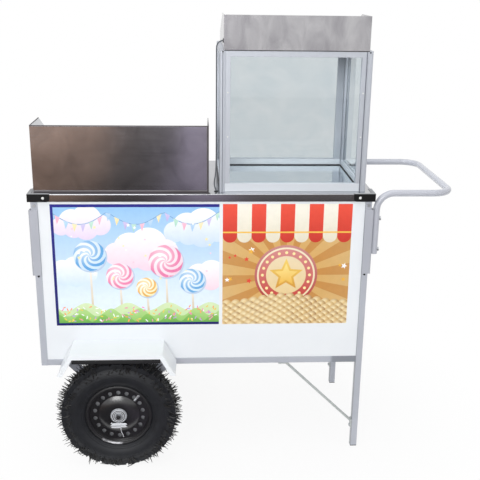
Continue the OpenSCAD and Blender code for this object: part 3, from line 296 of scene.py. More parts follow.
def printed_vinyl():
    """Self-adhesive vinyl with solvent inks: satin film, with the ink read from the sheet itself."""
    material, tree, place = blank("printed_vinyl_film")
    ink = add(tree, "ShaderNodeVertexColor", layer_name="ink")
    mottle = add(tree, "ShaderNodeTexNoise", {"Vector": place, "Scale": per_m(14), "Detail": 3.0})
    value = add(tree, "ShaderNodeMapRange", {"Value": mottle, 3: 0.95, 4: 1.05})
    tone = add(tree, "ShaderNodeHueSaturation", {"Value": value, "Color": ink})
    bump = add(tree, "ShaderNodeBump", {"Strength": 0.05, "Distance": 0.0001, "Height": mottle})
    return surfaced(material, {"Base Color": tone, "Roughness": 0.42, "Normal": bump})


def spun_aluminium(centre):
    """Aluminium spun on a lathe: satin, with the tool's rings round the bowl's middle."""
    material, tree, place = blank("spun_aluminium_satin")
    moved = add(tree, "ShaderNodeMapping", {"Vector": place, "Location": [-c for c in centre]})
    rings = add(tree, "ShaderNodeTexWave", {"Vector": moved, "Scale": per_m(6) / 20, "Distortion": 0.6, "Detail": 2.0},
                wave_type="RINGS", rings_direction="Z").outputs[1]
    tone = add(tree, "ShaderNodeMix", {0: rings, 6: srgb("#B4B7B9"), 7: srgb("#D2D4D5")}, data_type="RGBA")
    bump = add(tree, "ShaderNodeBump", {"Strength": 0.15, "Distance": 0.0002, "Height": rings})
    return surfaced(material, {"Base Color": tone, "Roughness": 0.32, "Normal": bump, "Metallic": 1.0})


BOWL_CENTRE = (-0.3915, 0.0, 0.927)
grey_enamel = enamel("steel_tube_grey_enamel", "#B4B6C0", "#A6A9B4", 0.34)
# Painted shade: a darker band from x 310 mm to the right post's left side face, which it takes in
tube_enamel = enamel("square_tube_grey_enamel", "#BDC0C9", "#AFB3BD", 0.34,
                     painted_light=[("#83878F", [(0.85, [(0, 391, 389.4), (0, 300, 310)])])])
# Painted shade: darker bands down the side edges of both sleeves, where their sides turn from the light
sleeve_enamel = enamel("folded_plate_grey_enamel", "#B9BBC4", "#ABAEB8", 0.34, painted_light=[
    ("#7E828A", [(0.7, [(0, -681, -683.4)]), (0.4, [(0, -657.4, -655.4), (0, -600, -610)]),
                 (0.7, [(0, 391.6, 389.4), (0, 300, 310)]), (0.5, [(0, 415, 417.4)])])])
brace_enamel = enamel("flat_bar_pale_grey_enamel", "#BCC1C0", "#ACB1B0", 0.34)
handle_enamel = enamel("bent_tube_pale_grey_enamel", "#C3C5CE", "#B4B7C1", 0.3, peel_mm=6, coat=0.6,
                       coat_roughness=0.08)
white_enamel = enamel("sheet_steel_white_enamel", "#F2F5F8", "#E9EDF2", 0.3)
black_enamel = enamel("pressed_steel_black_enamel", "#1C1C20", "#131316", 0.3, coat=1.0, coat_roughness=0.2)
# Painted highlight: a bright glint on the lower-left arc of each rim's rolled flange
glint_enamel = enamel("pressed_steel_black_enamel_painted_glint", "#1C1C20", "#131316", 0.5, coat=0.1, coat_roughness=0.4,
                       glint_bands=[(1.0, [(0, -494, -448), (0, -398, -418), (2, 110, 104)])])
motor_enamel = enamel("cast_housing_grey_enamel", "#666B73", "#565A62", 0.45)
# Painted shade: the table's front strip before the guard is darker and duller; the whole top face is a little darker
# and duller
sheet_steel = rolled_steel("stainless_bright_rolled", "#C0C2C6", "#B4B6BA", 0.12, 0,
                           shade_bands=[(0.8, [(1, -222, -228), (0, -108, -114), (2, 925.5, 926.5)]),
                                 (0.15, [(2, 925.5, 926.5)])])
# Painted shade: the guard is darker and duller along its foot, its top edge and its right edge
screen_steel = rolled_steel("stainless_bright_screen", "#C6C8CC", "#A2A4A8", 0.12, 0, wave=0.0022, smear_mm=80,
                            contrast=1.6, shade_bands=[(1.0, [(2, 936, 930)]), (1.0, [(2, 1137, 1139)]),
                                                (1.0, [(0, -122, -120)])])
header_steel = rolled_steel("stainless_bright_wiped", "#C3C2C4", "#949297", 0.16, 0, smear_mm=60, contrast=1.9,
                            wipe=(1, 1, 0.45))
tray_sheet = rolled_steel("aluminium_bright_rolled", "#E9EEF2", "#DCE2E8", 0.14, 0, wave=0.0006)
zinc_plate = plated("zinc_plate_bright", "#D2D5D8", "#A9ADB2", 0.44, 9)
zinc_cast = plated("zinc_plate_dull", "#CDD0D4", "#B4B8BE", 0.42, 6, metal=0.35)
plain_steel = plated("steel_plain_rolled", "#9EA1A6", "#85888E", 0.36, 18)
heater_scale = plated("resistance_element_browned", "#8A6550", "#5C4336", 0.5, 5)
bar_uprights = extruded("aluminium_anodised_upright", "#C5C9D1", "#B7BCC5", 2)
# Painted light: the frames are lighter below z 955 mm, on their low bars
bar_frames = extruded("aluminium_anodised_frames", "#C5C9D1", "#B7BCC5", 2,
                      painted_light=[("#E6EBF1", [(0.85, [(2, 955, 952)])])])
# Painted shade: the door frame's inner face grows darker towards the top; painted light: the inner face of its bottom
# bar is lighter
bar_door = extruded("aluminium_anodised_door", "#C9CDD4", "#BCC1C9", 2, painted_light=[
    ("#5E636B", [(0.9, [(1, 161, 158), (2, 1040, 1360)])]), ("#F2F5F9", [(1.0, [(1, 161, 158), (2, 955, 952)])])])
bar_lengthwise = extruded("aluminium_anodised_lengthwise", "#C5C9D1", "#B7BCC5", 0)
black_plastic = moulded("abs_black_moulded", "#0D0D0F", "#080809", 0.5, 1.2, ior=1.35)
# Painted highlight: the protectors' tops, above z 927.8 mm, are painted light grey
top_lit_plastic = moulded("abs_black_moulded_painted_top_light", "#0D0D0F", "#080809", 0.5, 1.2, ior=1.35,
                          painted_light=[("#A6A8AB", [(0.85, [(2, 927.2, 927.8)])])])
red_plastic = moulded("abs_red_moulded", "#C22A20", "#A8221A", 0.28, 1.5, 0.08)
white_plastic = moulded("abs_white_moulded", "#ECECEA", "#E0E0DD", 0.4, 1.2)
opal_plastic = moulded("acrylic_opal_frosted", "#F5F2E8", "#ECE8DA", 0.5, 0.8)
tyre_rubber = moulded("tyre_rubber_moulded", "#191C24", "#05070B", 0.58, 3.0, 0.6)
whisker_rubber = moulded("tyre_rubber_flash", "#2A2827", "#161617", 0.5, 3.0, 0.1)
soft_rubber = moulded("rubber_black_moulded", "#1C1C1F", "#131316", 0.6, 1.0)
cable_jacket = moulded("pvc_cable_jacket_grey", "#5F646B", "#50545B", 0.45, 1.0)
seal_rubber = moulded("epdm_seal_grey_moulded", "#7C808A", "#6E727C", 0.6, 1.0)
wire_bright = plated("galvanised_wire_bright", "#E0E2E6", "#C9CCD1", 0.4, 6, metal=0.3)
glass_clear = float_glass()
vinyl_print = printed_vinyl()
spun_bowl = spun_aluminium(BOWL_CENTRE)


# Lamp cable: from the box on the roof, out through the header's wing and down beside the case

CABLE_D = 4 * MM
CABLE_ROUTE = [
    (139, -36, 1377), (118, -37, 1374), (84, -48, 1373), (46, -74, 1373), (10, -108, 1373),
    (-14, -140, 1374), (-32, -166, 1380), (-48, -182, 1389), (-60, -188, 1395), (-70, -189, 1397),
    (-79, -189, 1395), (-86, -190, 1390), (-90, -190, 1382), (-91, -191, 1372), (-91, -192, 1340),
    (-91, -195, 1250), (-91, -198, 1150), (-91, -202, 1050), (-92, -206, 1000), (-94, -209, 978),
    (-97, -212, 960), (-97, -213, 948), (-94, -214, 938), (-91, -214, 930), (-91, -214, 922)]


def smooth_route(points, steps):
    """Points on a smooth curve through the route's points."""
    route = [Vector(p) * MM for p in points]
    last = len(route) - 1
    line = []
    for i in range(last):
        a, b, c, d = (route[min(max(k, 0), last)] for k in range(i - 1, i + 3))
        for s in range(steps):
            t = s / steps
            line.append(0.5 * (2 * b + (c - a) * t + (2 * a - 5 * b + 4 * c - d) * t * t
                               + (3 * b - a - 3 * c + d) * t ** 3))
    return line + [route[-1]]


def wire_run(name, line, diameter, fineness):
    """A round wire along a line of points, as a curve."""
    data = bpy.data.curves.new(name, "CURVE")
    data.dimensions = "3D"
    data.bevel_depth = diameter / 2
    data.bevel_resolution = fineness
    data.use_fill_caps = True
    spline = data.splines.new("POLY")
    spline.points.add(len(line) - 1)
    for point, place in zip(spline.points, line):
        point.co = (*place, 1)
    return put(name, data)


def lay_cable():
    line = smooth_route(CABLE_ROUTE, 4)
    lead = wire_run("lamp_lead", line, CABLE_D, 3)
    lead.data.materials.append(cable_jacket)
    settle(lead, "cart", "cable_jacket", "lamp_cable")


lay_cable()


# Solids with broken edges

def soften(node, material, width_mm=0.0, shortest_mm=0.0, above_mm=-1.0, segments=2):
    """The node's own shape with its edges rounded by a fabricator's radius, and clean normals."""
    bm = bmesh.new()
    bm.from_mesh(NODES[node].data)
    bmesh.ops.remove_doubles(bm, verts=bm.verts[:], dist=2e-6)
    bmesh.ops.dissolve_limit(bm, angle_limit=math.radians(0.3), verts=bm.verts[:], edges=bm.edges[:])
    if width_mm:
        edges = [e for e in bm.edges if len(e.link_faces) == 2
                 and e.calc_face_angle_signed(0) > math.radians(SHARP) and e.calc_length() >= shortest_mm * MM
                 and min(v.co.z for v in e.verts) >= above_mm * MM]
        bmesh.ops.bevel(bm, geom=edges, offset=width_mm * MM, segments=segments, profile=0.5,
                        affect="EDGES", clamp_overlap=True)
    shade(bm)
    mesh = as_mesh(bm, node + "_finished")
    for name in ("custom_normal", "sharp_face"):
        if name in mesh.attributes:
            mesh.attributes.remove(mesh.attributes[name])
    piece = new_piece(node + "_finished", mesh, material)
    weighted = piece.modifiers.new("flat_faces", "WEIGHTED_NORMAL")
    weighted.keep_sharp = True
    bake(piece)
    return settle(piece, BODY_OF[node], SLOT_OF[node], node)


# A node's finish, then in mm the width of its broken edges, the shortest edge that is broken, and the height
# from which edges are, and the steps across an edge
SOFTENED = {
    "posts": (tube_enamel, 1.8, 60), "frame_rails": (tube_enamel, 1.8, 60),
    "post_sleeves": (sleeve_enamel, 1.0, 60), "leg_braces": (brace_enamel,),
    "axle_struts": (grey_enamel, 1.5, 40), "handle": (handle_enamel,),
    "leg_plugs": (black_plastic, 0.6), "frame_bolts": (zinc_plate, 0.6),
    "front_panel": (white_enamel,), "side_panels": (white_enamel,), "floor_panel": (white_enamel,),
    "back_panel": (white_enamel,), "control_panel": (white_enamel, 0.4, 20),
    "left_door": (white_enamel, 1.2, 60), "right_door": (white_enamel, 1.2, 60),
    "fenders": (white_enamel, 0.7, 40),
    "hinge_leaves": (zinc_plate,), "left_door_leaves": (zinc_plate,), "right_door_leaves": (zinc_plate,),
    "case_door_leaves": (zinc_plate,),
    "left_door_pull": (black_plastic, 1.2), "right_door_pull": (black_plastic, 1.2),
    "case_door_knob": (black_plastic, 1.0), "heat_knob": (black_plastic, 0.5),
    "heat_control": (black_plastic, 0.6), "power_inlet": (black_plastic, 0.5),
    "switch_bezel": (black_plastic, 0.5), "power_switch": (red_plastic, 0.5),
    "corner_protectors": (top_lit_plastic, 0.9),
    "table_top": (sheet_steel, 2.4, 300, 926.9, 3), "wind_guard": (screen_steel, 0.6, 60),
    "header": (header_steel, 0.6, 60),
    "bowl": (spun_bowl,), "spinner_head": (spun_bowl, 0.5), "heater_ring": (heater_scale,),
    "spinner_shaft": (plain_steel,), "motor": (motor_enamel, 0.8), "motor_bracket": (plain_steel, 0.6, 20),
    "case_floor": (tray_sheet, 0.7, 60), "case_posts": (bar_uprights, 0.4, 60),
    "case_frames": (bar_frames, 0.8, 60), "case_door_frame": (bar_door, 0.8, 60),
    "case_roof": (bar_lengthwise, 0.5, 60),
    "front_glass": (glass_clear,), "side_glasses": (glass_clear,), "case_door_glass": (glass_clear,),
    "lamp_base": (white_plastic, 0.8), "lamp_cover": (opal_plastic,), "cable_grommets": (soft_rubber, 0.5),
    "axle": (zinc_plate, 0.5), "axle_bushes": (zinc_plate, 0.5), "axle_fixings": (zinc_cast,),
    "near_tyre": (tyre_rubber,), "far_tyre": (tyre_rubber,),
    "near_rim": (black_enamel, 0.4), "far_rim": (black_enamel, 0.4),
    "near_hub": (zinc_cast, 0.6), "far_hub": (zinc_cast, 0.6),
}
SHOWN = {node: soften(node, *how) for node, how in SOFTENED.items()}


# Prints: one sheet for each decal, cut into the fields of its drawing

DECAL_FACE, VINYL = -242.9, 0.4
CANDY_LOW, CANDY_HIGH = (-618, 476), (-81, 893)
STRIPE_LOW, STRIPE_HIGH = (-70, 476), (349, 893)


def flat(code):
    colour = srgb(code)[:3]
    return lambda x, z: colour


def fade(low_code, high_code, share):
    """Ink that runs from one colour to another; share gives how far, at a place."""
    a, b = srgb(low_code)[:3], srgb(high_code)[:3]

    def paint(x, z):
        t = min(max(share(x, z), 0), 1)
        return [p + (q - p) * t for p, q in zip(a, b)]
    return paint


def rising(z0, z1):
    return lambda x, z: (z - z0) / (z1 - z0)


def rounding(x0, z0, r):
    """From the lit upper left of a ball to its far edge."""
    return lambda x, z: math.hypot(x - x0 + 0.3 * r, z - z0 - 0.35 * r) / (1.25 * r)


def disc(x, z, r, count=36):
    turns = [math.tau * i / count for i in range(count)]
    return [(x + r * math.cos(a), z + r * math.sin(a)) for a in turns]


def box(x0, z0, x1, z1):
    return [(x0, z0), (x1, z0), (x1, z1), (x0, z1)]


def star(x, z, r, points=5, inner=0.45, turn=90):
    out = []
    for i in range(2 * points):
        a, reach = math.radians(turn) + math.pi * i / points, r if i % 2 == 0 else r * inner
        out.append((x + reach * math.cos(a), z + reach * math.sin(a)))
    return out


def ribbon(points, width):
    """A band of this width along a line of points."""
    left, right = [], []
    for i, (x, z) in enumerate(points):
        (ax, az), (bx, bz) = points[max(i - 1, 0)], points[min(i + 1, len(points) - 1)]
        d = math.hypot(bx - ax, bz - az)
        nx, nz = -(bz - az) / d * width / 2, (bx - ax) / d * width / 2
        left.append((x + nx, z + nz))
        right.append((x - nx, z - nz))
    return right + left[::-1]


def swirl_arm(x, z, r, start, width, twist, steps=14):
    """One curved arm of a swirl sweet, from its middle to its edge."""
    def at(share, angle):
        a = angle + twist * share
        return (x + r * share * math.cos(a), z + r * share * math.sin(a))
    go = [at(i / steps, start) for i in range(1, steps + 1)]
    rim = [at(1, start + width * i / 4) for i in range(1, 4)]
    back = [at(i / steps, start + width) for i in range(steps, 0, -1)]
    return [(x, z)] + go + rim + back


def swirl_sweet(x, z, r, pale, deep, stick_to):
    """A flat swirl sweet on a stick."""
    drawn = [(ribbon([(x, z), (x + 4, stick_to)], 7), fade("#D9C9A8", "#FFFFFF", rising(stick_to, z))),
             (disc(x + 3, z - 3, r + 2, 48), flat("#BFD3EC")),
             (disc(x, z, r, 48), fade("#FFFFFF", pale, rounding(x, z, r)))]
    for k in range(6):
        drawn.append((swirl_arm(x, z, r, k * math.tau / 6, math.tau / 12, 2.6),
                      fade(pale, deep, rounding(x, z, r * 0.8))))
    drawn.append((disc(x - 0.34 * r, z + 0.4 * r, 0.13 * r, 18), flat("#FFFFFF")))
    return drawn


def cloud(x, z, size, low, high):
    puffs = [(-1.5, 0, 0.7), (-0.7, 0.35, 0.95), (0.35, 0.5, 1.1), (1.3, 0.1, 0.8), (0.3, -0.15, 0.9),
             (-0.6, -0.2, 0.7)]
    return [(disc(x + a * size, z + b * size, r * size, 30), fade(low, high, rising(z - size, z + 1.5 * size)))
            for a, b, r in puffs]


def sprinkle(x, z, length, turn):
    """A short sugar strand with round ends."""
    c, n = math.cos(turn), math.sin(turn)
    out = []
    for end, start in ((1, -90), (-1, 90)):
        for k in range(5):
            a = math.radians(start + 45 * k)
            px, pz = end * length / 2 + 1.7 * math.cos(a), 1.7 * math.sin(a)
            out.append((x + px * c - pz * n, z + px * n + pz * c))
    return out


def candy_print():
    """Pastel sky with clouds, swirl sweets, bunting and flowering hills in a blue border."""
    (x0, z0), (x1, z1) = CANDY_LOW, CANDY_HIGH
    rng = random.Random(7)
    drawn = [(box(x0, z0, x1, z1), fade("#E6F3FE", "#96C8F5", rising(z0 + 90, z1)))]
    drawn += cloud(-520, 820, 44, "#EAD9F2", "#FFFFFF") + cloud(-150, 800, 50, "#CFE3F8", "#FFFFFF")
    drawn += cloud(-330, 726, 56, "#F8D9EA", "#FFFFFF") + cloud(-560, 655, 40, "#D6EAFB", "#FFFFFF")
    drawn += cloud(-120, 640, 40, "#F9DDEB", "#FFFFFF")
    sag = [(x0 + (x1 - x0) * i / 40, 868 - 42 * math.sin(math.pi * (i / 40 * 3 % 1))) for i in range(41)]
    drawn.append((ribbon(sag, 2.6), flat("#7FA8D8")))
    flags = ["#F79CC0", "#8CC4F2", "#FBE08A", "#B7A2E6", "#9ADBC0"]
    for i in range(1, 40, 2):
        (xa, za), (xb, zb) = sag[i], sag[min(i + 1, 40)]
        drawn.append(([(xa, za), ((xa + xb) / 2, (za + zb) / 2 - 26), (xb + 3, zb)],
                      fade(flags[i // 2 % 5], "#FFFFFF", rising(za - 40, za + 60))))
    for x, z, r, pale, deep in ((-500, 720, 52, "#CFE6FB", "#5FA9E4"), (-405, 650, 44, "#FCE0EC", "#F184B0"),
                                (-255, 700, 56, "#FBDDEA", "#EE7FAE"), (-170, 632, 42, "#D5EAFB", "#66AEE6"),
                                (-318, 610, 34, "#FFF3C8", "#F0B952")):
        drawn += swirl_sweet(x, z, r, pale, deep, 528)
    for lift, wave, low, high in ((66, 130, "#BFE0A0", "#DDEFC0"), (46, 90, "#8CC862", "#B8DE8C"),
                                  (26, 70, "#5FAE46", "#93CB63")):
        ridge = [(x0 + (x1 - x0) * i / 60, z0 + lift + 14 * math.sin(i * 6.0 / wave * 9 + lift)) for i in range(61)]
        drawn.append(([(x0, z0), (x1, z0)] + ridge[::-1], fade(low, high, rising(z0, z0 + lift + 14))))
    for _ in range(120):
        x, z = rng.uniform(x0 + 16, x1 - 8), z0 + 15 + 52 * rng.random() ** 1.3
        drawn.append((sprinkle(x, z, rng.uniform(5, 9), rng.uniform(0, math.pi)),
                      flat(rng.choice(["#FFFFFF", "#F48FBB", "#F7D64C", "#C79BE8", "#FF9F5A"]))))
    for _ in range(26):
        x, z = rng.uniform(x0 + 20, x1 - 12), rng.uniform(z0 + 150, z1 - 60)
        drawn.append((star(x, z, rng.uniform(3.5, 8)), flat(rng.choice(["#FFFFFF", "#FFF2B0", "#FBD3E4"]))))
    edge = fade("#10106A", "#1C1C8C", rising(z0, z1))
    border = box(x0, z1 - 10, x1, z1), box(x0, z0, x0 + 9, z1), box(x0, z0, x1, z0 + 9)
    return drawn + [(strip, edge) for strip in border]


def stripe_print():
    """Striped awning over a starred medallion, with a bank of round cream puffs below."""
    (x0, z0), (x1, z1) = STRIPE_LOW, STRIPE_HIGH
    rng = random.Random(21)
    mid_x, mid_z, hem, stripes = (x0 + x1) / 2, 650, 786, 9
    drawn = [(box(x0, z0, x1, z1), fade("#D9A44E", "#DDB678", lambda x, z: math.hypot(x - mid_x, z - mid_z) / 230))]
    for k in range(16):
        a, b = (math.tau * (k + s) / 16 for s in (0, 0.5))
        drawn.append(([(mid_x, mid_z)] + [(mid_x + 420 * math.cos(t), mid_z + 420 * math.sin(t)) for t in (a, b)],
                      fade("#C98633", "#CF9A58", lambda x, z: math.hypot(x - mid_x, z - mid_z) / 260)))
    wide = (x1 - x0) / stripes
    inks = [fade(low, high, rising(hem - 40, z1)) for low, high in (("#C92B1E", "#F4513A"), ("#E6DCC4", "#FCF7EA"))]
    for k in range(stripes):
        left = x0 + k * wide
        drawn.append((box(left, hem, left + wide, z1), inks[k % 2]))
        drawn.append((disc(left + wide / 2, hem, wide / 2 - 0.2, 40), inks[k % 2]))
    drawn.append((ribbon([(x0, hem + 12), (x1, hem + 12)], 5), flat("#F6C64E")))
    for r, code in ((104, "#B92A1C"), (96, "#F0DDB4"), (90, "#CB3323"), (66, "#EBCF96")):
        drawn.append((disc(mid_x, mid_z, r, 72), fade(code, "#FFFFFF", lambda x, z, r=r: 0.12 * (z - mid_z + r) / r)))
    for k in range(20):
        a = math.tau * k / 20
        drawn.append((disc(mid_x + 78 * math.cos(a), mid_z + 78 * math.sin(a), 5, 16), flat("#FCE9A6")))
    drawn.append((star(mid_x, mid_z, 58), fade("#D9962A", "#F7D264", rising(mid_z - 50, mid_z + 50))))
    drawn.append((star(mid_x, mid_z, 40), fade("#F0B63C", "#FCE48E", rising(mid_z - 40, mid_z + 40))))
    for _ in range(22):
        x, z = rng.uniform(x0 + 14, x1 - 14), rng.uniform(z0 + 150, hem - 44)
        if math.hypot(x - mid_x, z - mid_z) > 122:
            drawn.append((star(x, z, rng.uniform(5, 11), turn=rng.uniform(60, 120)),
                          flat(rng.choice(["#E5432F", "#F0B63C", "#FFFFFF"]))))
    pitch = 30
    for row in range(9, -1, -1):
        for k in range(-1, int((x1 - x0) / pitch) + 2):
            x, z = x0 + (k + 0.5 * (row % 2)) * pitch, z0 - 16 + 11 * row
            lift = 12 * math.cos((x - mid_x) / 60)
            deep = rng.choice(["#B07A2C", "#BD8A3C", "#C99A50", "#A86F26"])
            drawn.append((disc(x, z + lift, 17, 28), fade("#F4E2B4", deep, rounding(x, z + lift, 17))))
            drawn.append((disc(x, z + lift + 4, 6.5, 18), fade("#FBEFCB", "#E3BE78", rounding(x, z + lift + 4, 7))))
    return drawn


def print_sheet(name, drawn, step=13):
    """The drawing as one sheet of vinyl: where fields lie over each other, the last one shows."""
    (x0, z0), (x1, z1) = drawn[0][0][0], drawn[0][0][2]
    coords, loops = [], []
    for outline, paint in drawn:
        loops.append(list(range(len(coords), len(coords) + len(outline))))
        coords += [Vector(p) for p in outline]
    rows, columns = int((z1 - z0) / step), int((x1 - x0) / step)
    coords += [Vector((x0 + (i + 0.5) * (x1 - x0) / columns, z0 + (j + 0.5) * (z1 - z0) / rows))
               for i in range(columns) for j in range(rows)]
    places, _, faces, _, _, owners = delaunay_2d_cdt(coords, [], loops, 1, 1e-4)
    bm = bmesh.new()
    ink = bm.loops.layers.float_color.new("ink")
    verts = [bm.verts.new((p.x * MM, DECAL_FACE * MM, p.y * MM)) for p in places]
    for corners, over in zip(faces, owners):
        if 0 in over:
            face = bm.faces.new([verts[c] for c in corners])
            paint = drawn[max(over)][1]
            for loop in face.loops:
                loop[ink] = (*paint(loop.vert.co.x / MM, loop.vert.co.z / MM), 1)
    bmesh.ops.delete(bm, geom=[v for v in bm.verts if not v.link_faces], context="VERTS")
    rim = [e for e in bm.edges if len(e.link_faces) == 1]
    drawn_back = bmesh.ops.extrude_edge_only(bm, edges=rim)["geom"]
    for vert in (g for g in drawn_back if isinstance(g, bmesh.types.BMVert)):
        vert.co.y += VINYL * MM
    bmesh.ops.holes_fill(bm, edges=[e for e in bm.edges if len(e.link_faces) == 1], sides=0)
    bmesh.ops.recalc_face_normals(bm, faces=bm.faces[:])
    for face in bm.faces:
        if face.normal.y > -0.5:
            for loop in face.loops:
                loop[ink] = (*srgb("#F4F4F2")[:3], 1)
    settle(new_piece(name, as_mesh(bm, name), vinyl_print), "cart", "printed_vinyl", "decals")


print_sheet("candy_decal", candy_print())
print_sheet("stripe_decal", stripe_print())


# Fine pieces

AXLE_X, AXLE_Z, WHEEL_Y = -415.5, 189, 307.5 * MM
AXLE = Vector((AXLE_X, 0, AXLE_Z)) * MM
SIDES = (("near", -1), ("far", 1))


def turn(bm, profile, place, out, count, closed):
    """Turns a profile of radius and height round the line from place along out; a third number is
    the radius at two of every three corners."""
    lay = Vector((0, 0, 1)).rotation_difference(Vector(out)).to_matrix()
    rows = []
    for r, h, *low in profile:
        reach = [low[0] if low and k % 3 else r for k in range(count if r else 1)]
        rows.append([bm.verts.new(Vector(place) + lay @ Vector((
            d * math.cos(math.tau * k / count), d * math.sin(math.tau * k / count), h))) for k, d in enumerate(reach)])
    for a, b in list(zip(rows, rows[1:])) + ([(rows[-1], rows[0])] if closed else []):
        for k in range(count):
            n = (k + 1) % count
            corners = [a[k % len(a)], a[n % len(a)], b[n % len(b)], b[k % len(b)]]
            bm.faces.new(list(dict.fromkeys(corners)))


def turned(name, material, *turns):
    """One mesh of turned forms, each a profile in mm, a place, a direction, a count of sides, and whether the
    profile closes on itself."""
    bm = bmesh.new()
    for profile, place, out, count, closed in turns:
        turn(bm, [[v * MM for v in row] for row in profile], place, out, count, closed)
    bmesh.ops.recalc_face_normals(bm, faces=bm.faces[:])
    shade(bm, SHARP)
    return new_piece(name, as_mesh(bm, name), material)


def new_tree(name, takes):
    """An empty Geometry Nodes tree with named inputs; gives the tree and its input sockets."""
    tree = bpy.data.node_groups.new(name, "GeometryNodeTree")
    for label, kind in takes:
        tree.interface.new_socket(label, in_out="INPUT", socket_type="NodeSocket" + kind)
    tree.interface.new_socket("Made", in_out="OUTPUT", socket_type="NodeSocketGeometry")
    return tree, add(tree, "NodeGroupInput").outputs


def end_tree(tree, instances, material):
    """Realises the instances and gives them their material."""
    real = add(tree, "GeometryNodeRealizeInstances", {0: instances})
    made = add(tree, "GeometryNodeSetMaterial", {0: real, "Material": material})
    add(tree, "NodeGroupOutput", {0: made})
    return tree


def grow(piece, tree, values, material):
    """Runs a tree on a piece with these inputs and keeps what it gives as the piece's mesh, in one material."""
    modifier = piece.modifiers.new(tree.name, "NODES")
    modifier.node_group = tree
    for item in tree.interface.items_tree:
        if item.in_out == "INPUT" and item.name in values:
            modifier[item.identifier] = values[item.name]
    bake(piece)
    for face in piece.data.polygons:
        face.material_index = 0
    clad(piece.data, material)
    return piece


# Moulding whiskers on the tyres: thin rubber hairs that the vents of the mould leave behind

FLOOR_GAP = 2 * MM
CABINET_CLEAR = 254 * MM
FACING = 0.15


def whisker_tree():
    """Hairs on the outward faces of the tread; those that would reach the floor lie along it instead."""
    tree, given = new_tree("moulding_whiskers", [
        ("Tyre", "Geometry"), ("Axle", "Vector"), ("Inner radius", "Float"), ("Number per square metre", "Float"),
        ("Thickness", "Float"), ("Shortest", "Float"), ("Longest", "Float"), ("Lean", "Float"), ("Seed", "Int"),
        ("Rubber", "Material")])
    place = add(tree, "GeometryNodeInputPosition")
    arm = add(tree, "ShaderNodeVectorMath", {0: place, 1: given["Axle"]}, operation="SUBTRACT")
    level = add(tree, "ShaderNodeVectorMath", {0: arm, 1: (1, 0, 1)}, operation="MULTIPLY")
    reach = add(tree, "ShaderNodeVectorMath", {0: level}, operation="LENGTH")
    away = add(tree, "ShaderNodeVectorMath", {0: level}, operation="NORMALIZE")
    normal = add(tree, "GeometryNodeInputNormal")
    lift = add(tree, "ShaderNodeVectorMath", {0: away, 1: normal}, operation="DOT_PRODUCT")
    outer = add(tree, "FunctionNodeCompare", {0: reach, 1: given["Inner radius"]}, data_type="FLOAT",
                operation="GREATER_THAN")
    facing = add(tree, "FunctionNodeCompare", {0: lift, 1: FACING}, data_type="FLOAT", operation="GREATER_THAN")
    tread = add(tree, "FunctionNodeBooleanMath", {0: outer, 1: facing}, operation="AND")
    roots = add(tree, "GeometryNodeDistributePointsOnFaces", {
        "Mesh": given["Tyre"], "Selection": tread, "Density": given["Number per square metre"],
        "Seed": given["Seed"]}, distribute_method="RANDOM")
    sway = add(tree, "FunctionNodeRandomValue", {0: (-1, -1, -1), 1: (1, 1, 1), "Seed": 5}, data_type="FLOAT_VECTOR")
    lean = add(tree, "ShaderNodeVectorMath", {0: sway, 3: given["Lean"]}, operation="SCALE")
    spread = add(tree, "ShaderNodeVectorMath", {0: away, 1: roots.outputs["Normal"]}, operation="ADD")
    bent = add(tree, "ShaderNodeVectorMath", {0: spread, 1: lean}, operation="ADD")
    run = add(tree, "ShaderNodeVectorMath", {0: bent}, operation="NORMALIZE")
    length = add(tree, "FunctionNodeRandomValue", {2: given["Shortest"], 3: given["Longest"], "Seed": 8},
                 data_type="FLOAT")
    grown = add(tree, "ShaderNodeVectorMath", {0: run, 3: length}, operation="SCALE")
    tip = add(tree, "ShaderNodeVectorMath", {0: place, 1: grown}, operation="ADD")
    tip_height = add(tree, "ShaderNodeSeparateXYZ", {0: tip})
    buried = add(tree, "FunctionNodeCompare", {0: tip_height.outputs[2], 1: FLOOR_GAP}, data_type="FLOAT",
                 operation="LESS_THAN")
    sideways = add(tree, "ShaderNodeVectorMath", {0: roots.outputs["Normal"], 1: (0, 2, 0), 2: (0, 0, 0.02)},
                   operation="MULTIPLY_ADD")
    level_run = add(tree, "ShaderNodeVectorMath", {0: run, 1: (1, 1, 0), 2: sideways}, operation="MULTIPLY_ADD")
    pressed = add(tree, "ShaderNodeVectorMath", {0: level_run}, operation="NORMALIZE")
    way = add(tree, "GeometryNodeSwitch", {0: buried, 1: run, 2: pressed}, input_type="VECTOR")
    root_height = add(tree, "ShaderNodeSeparateXYZ", {0: place})
    touching = add(tree, "FunctionNodeCompare", {0: root_height.outputs[2], 1: FLOOR_GAP}, data_type="FLOAT",
                   operation="LESS_THAN")
    kept = add(tree, "GeometryNodeDeleteGeometry", {0: roots, 1: touching}, domain="POINT")
    hair = add(tree, "GeometryNodeMeshCone", {"Vertices": 4, "Radius Top": 0.2, "Radius Bottom": 0.5, "Depth": 1.0})
    turned_to = add(tree, "FunctionNodeAlignRotationToVector", {"Vector": way}, axis="Z")
    laid_longer = add(tree, "ShaderNodeMath", {0: length, 1: 1.5}, operation="MULTIPLY")
    full = add(tree, "GeometryNodeSwitch", {0: buried, 1: length, 2: laid_longer}, input_type="FLOAT")
    size = add(tree, "ShaderNodeCombineXYZ", {0: given["Thickness"], 1: given["Thickness"], 2: full})
    hairs = add(tree, "GeometryNodeInstanceOnPoints", {
        "Points": kept, "Instance": hair, "Rotation": turned_to, "Scale": size})
    return end_tree(tree, hairs, given["Rubber"])


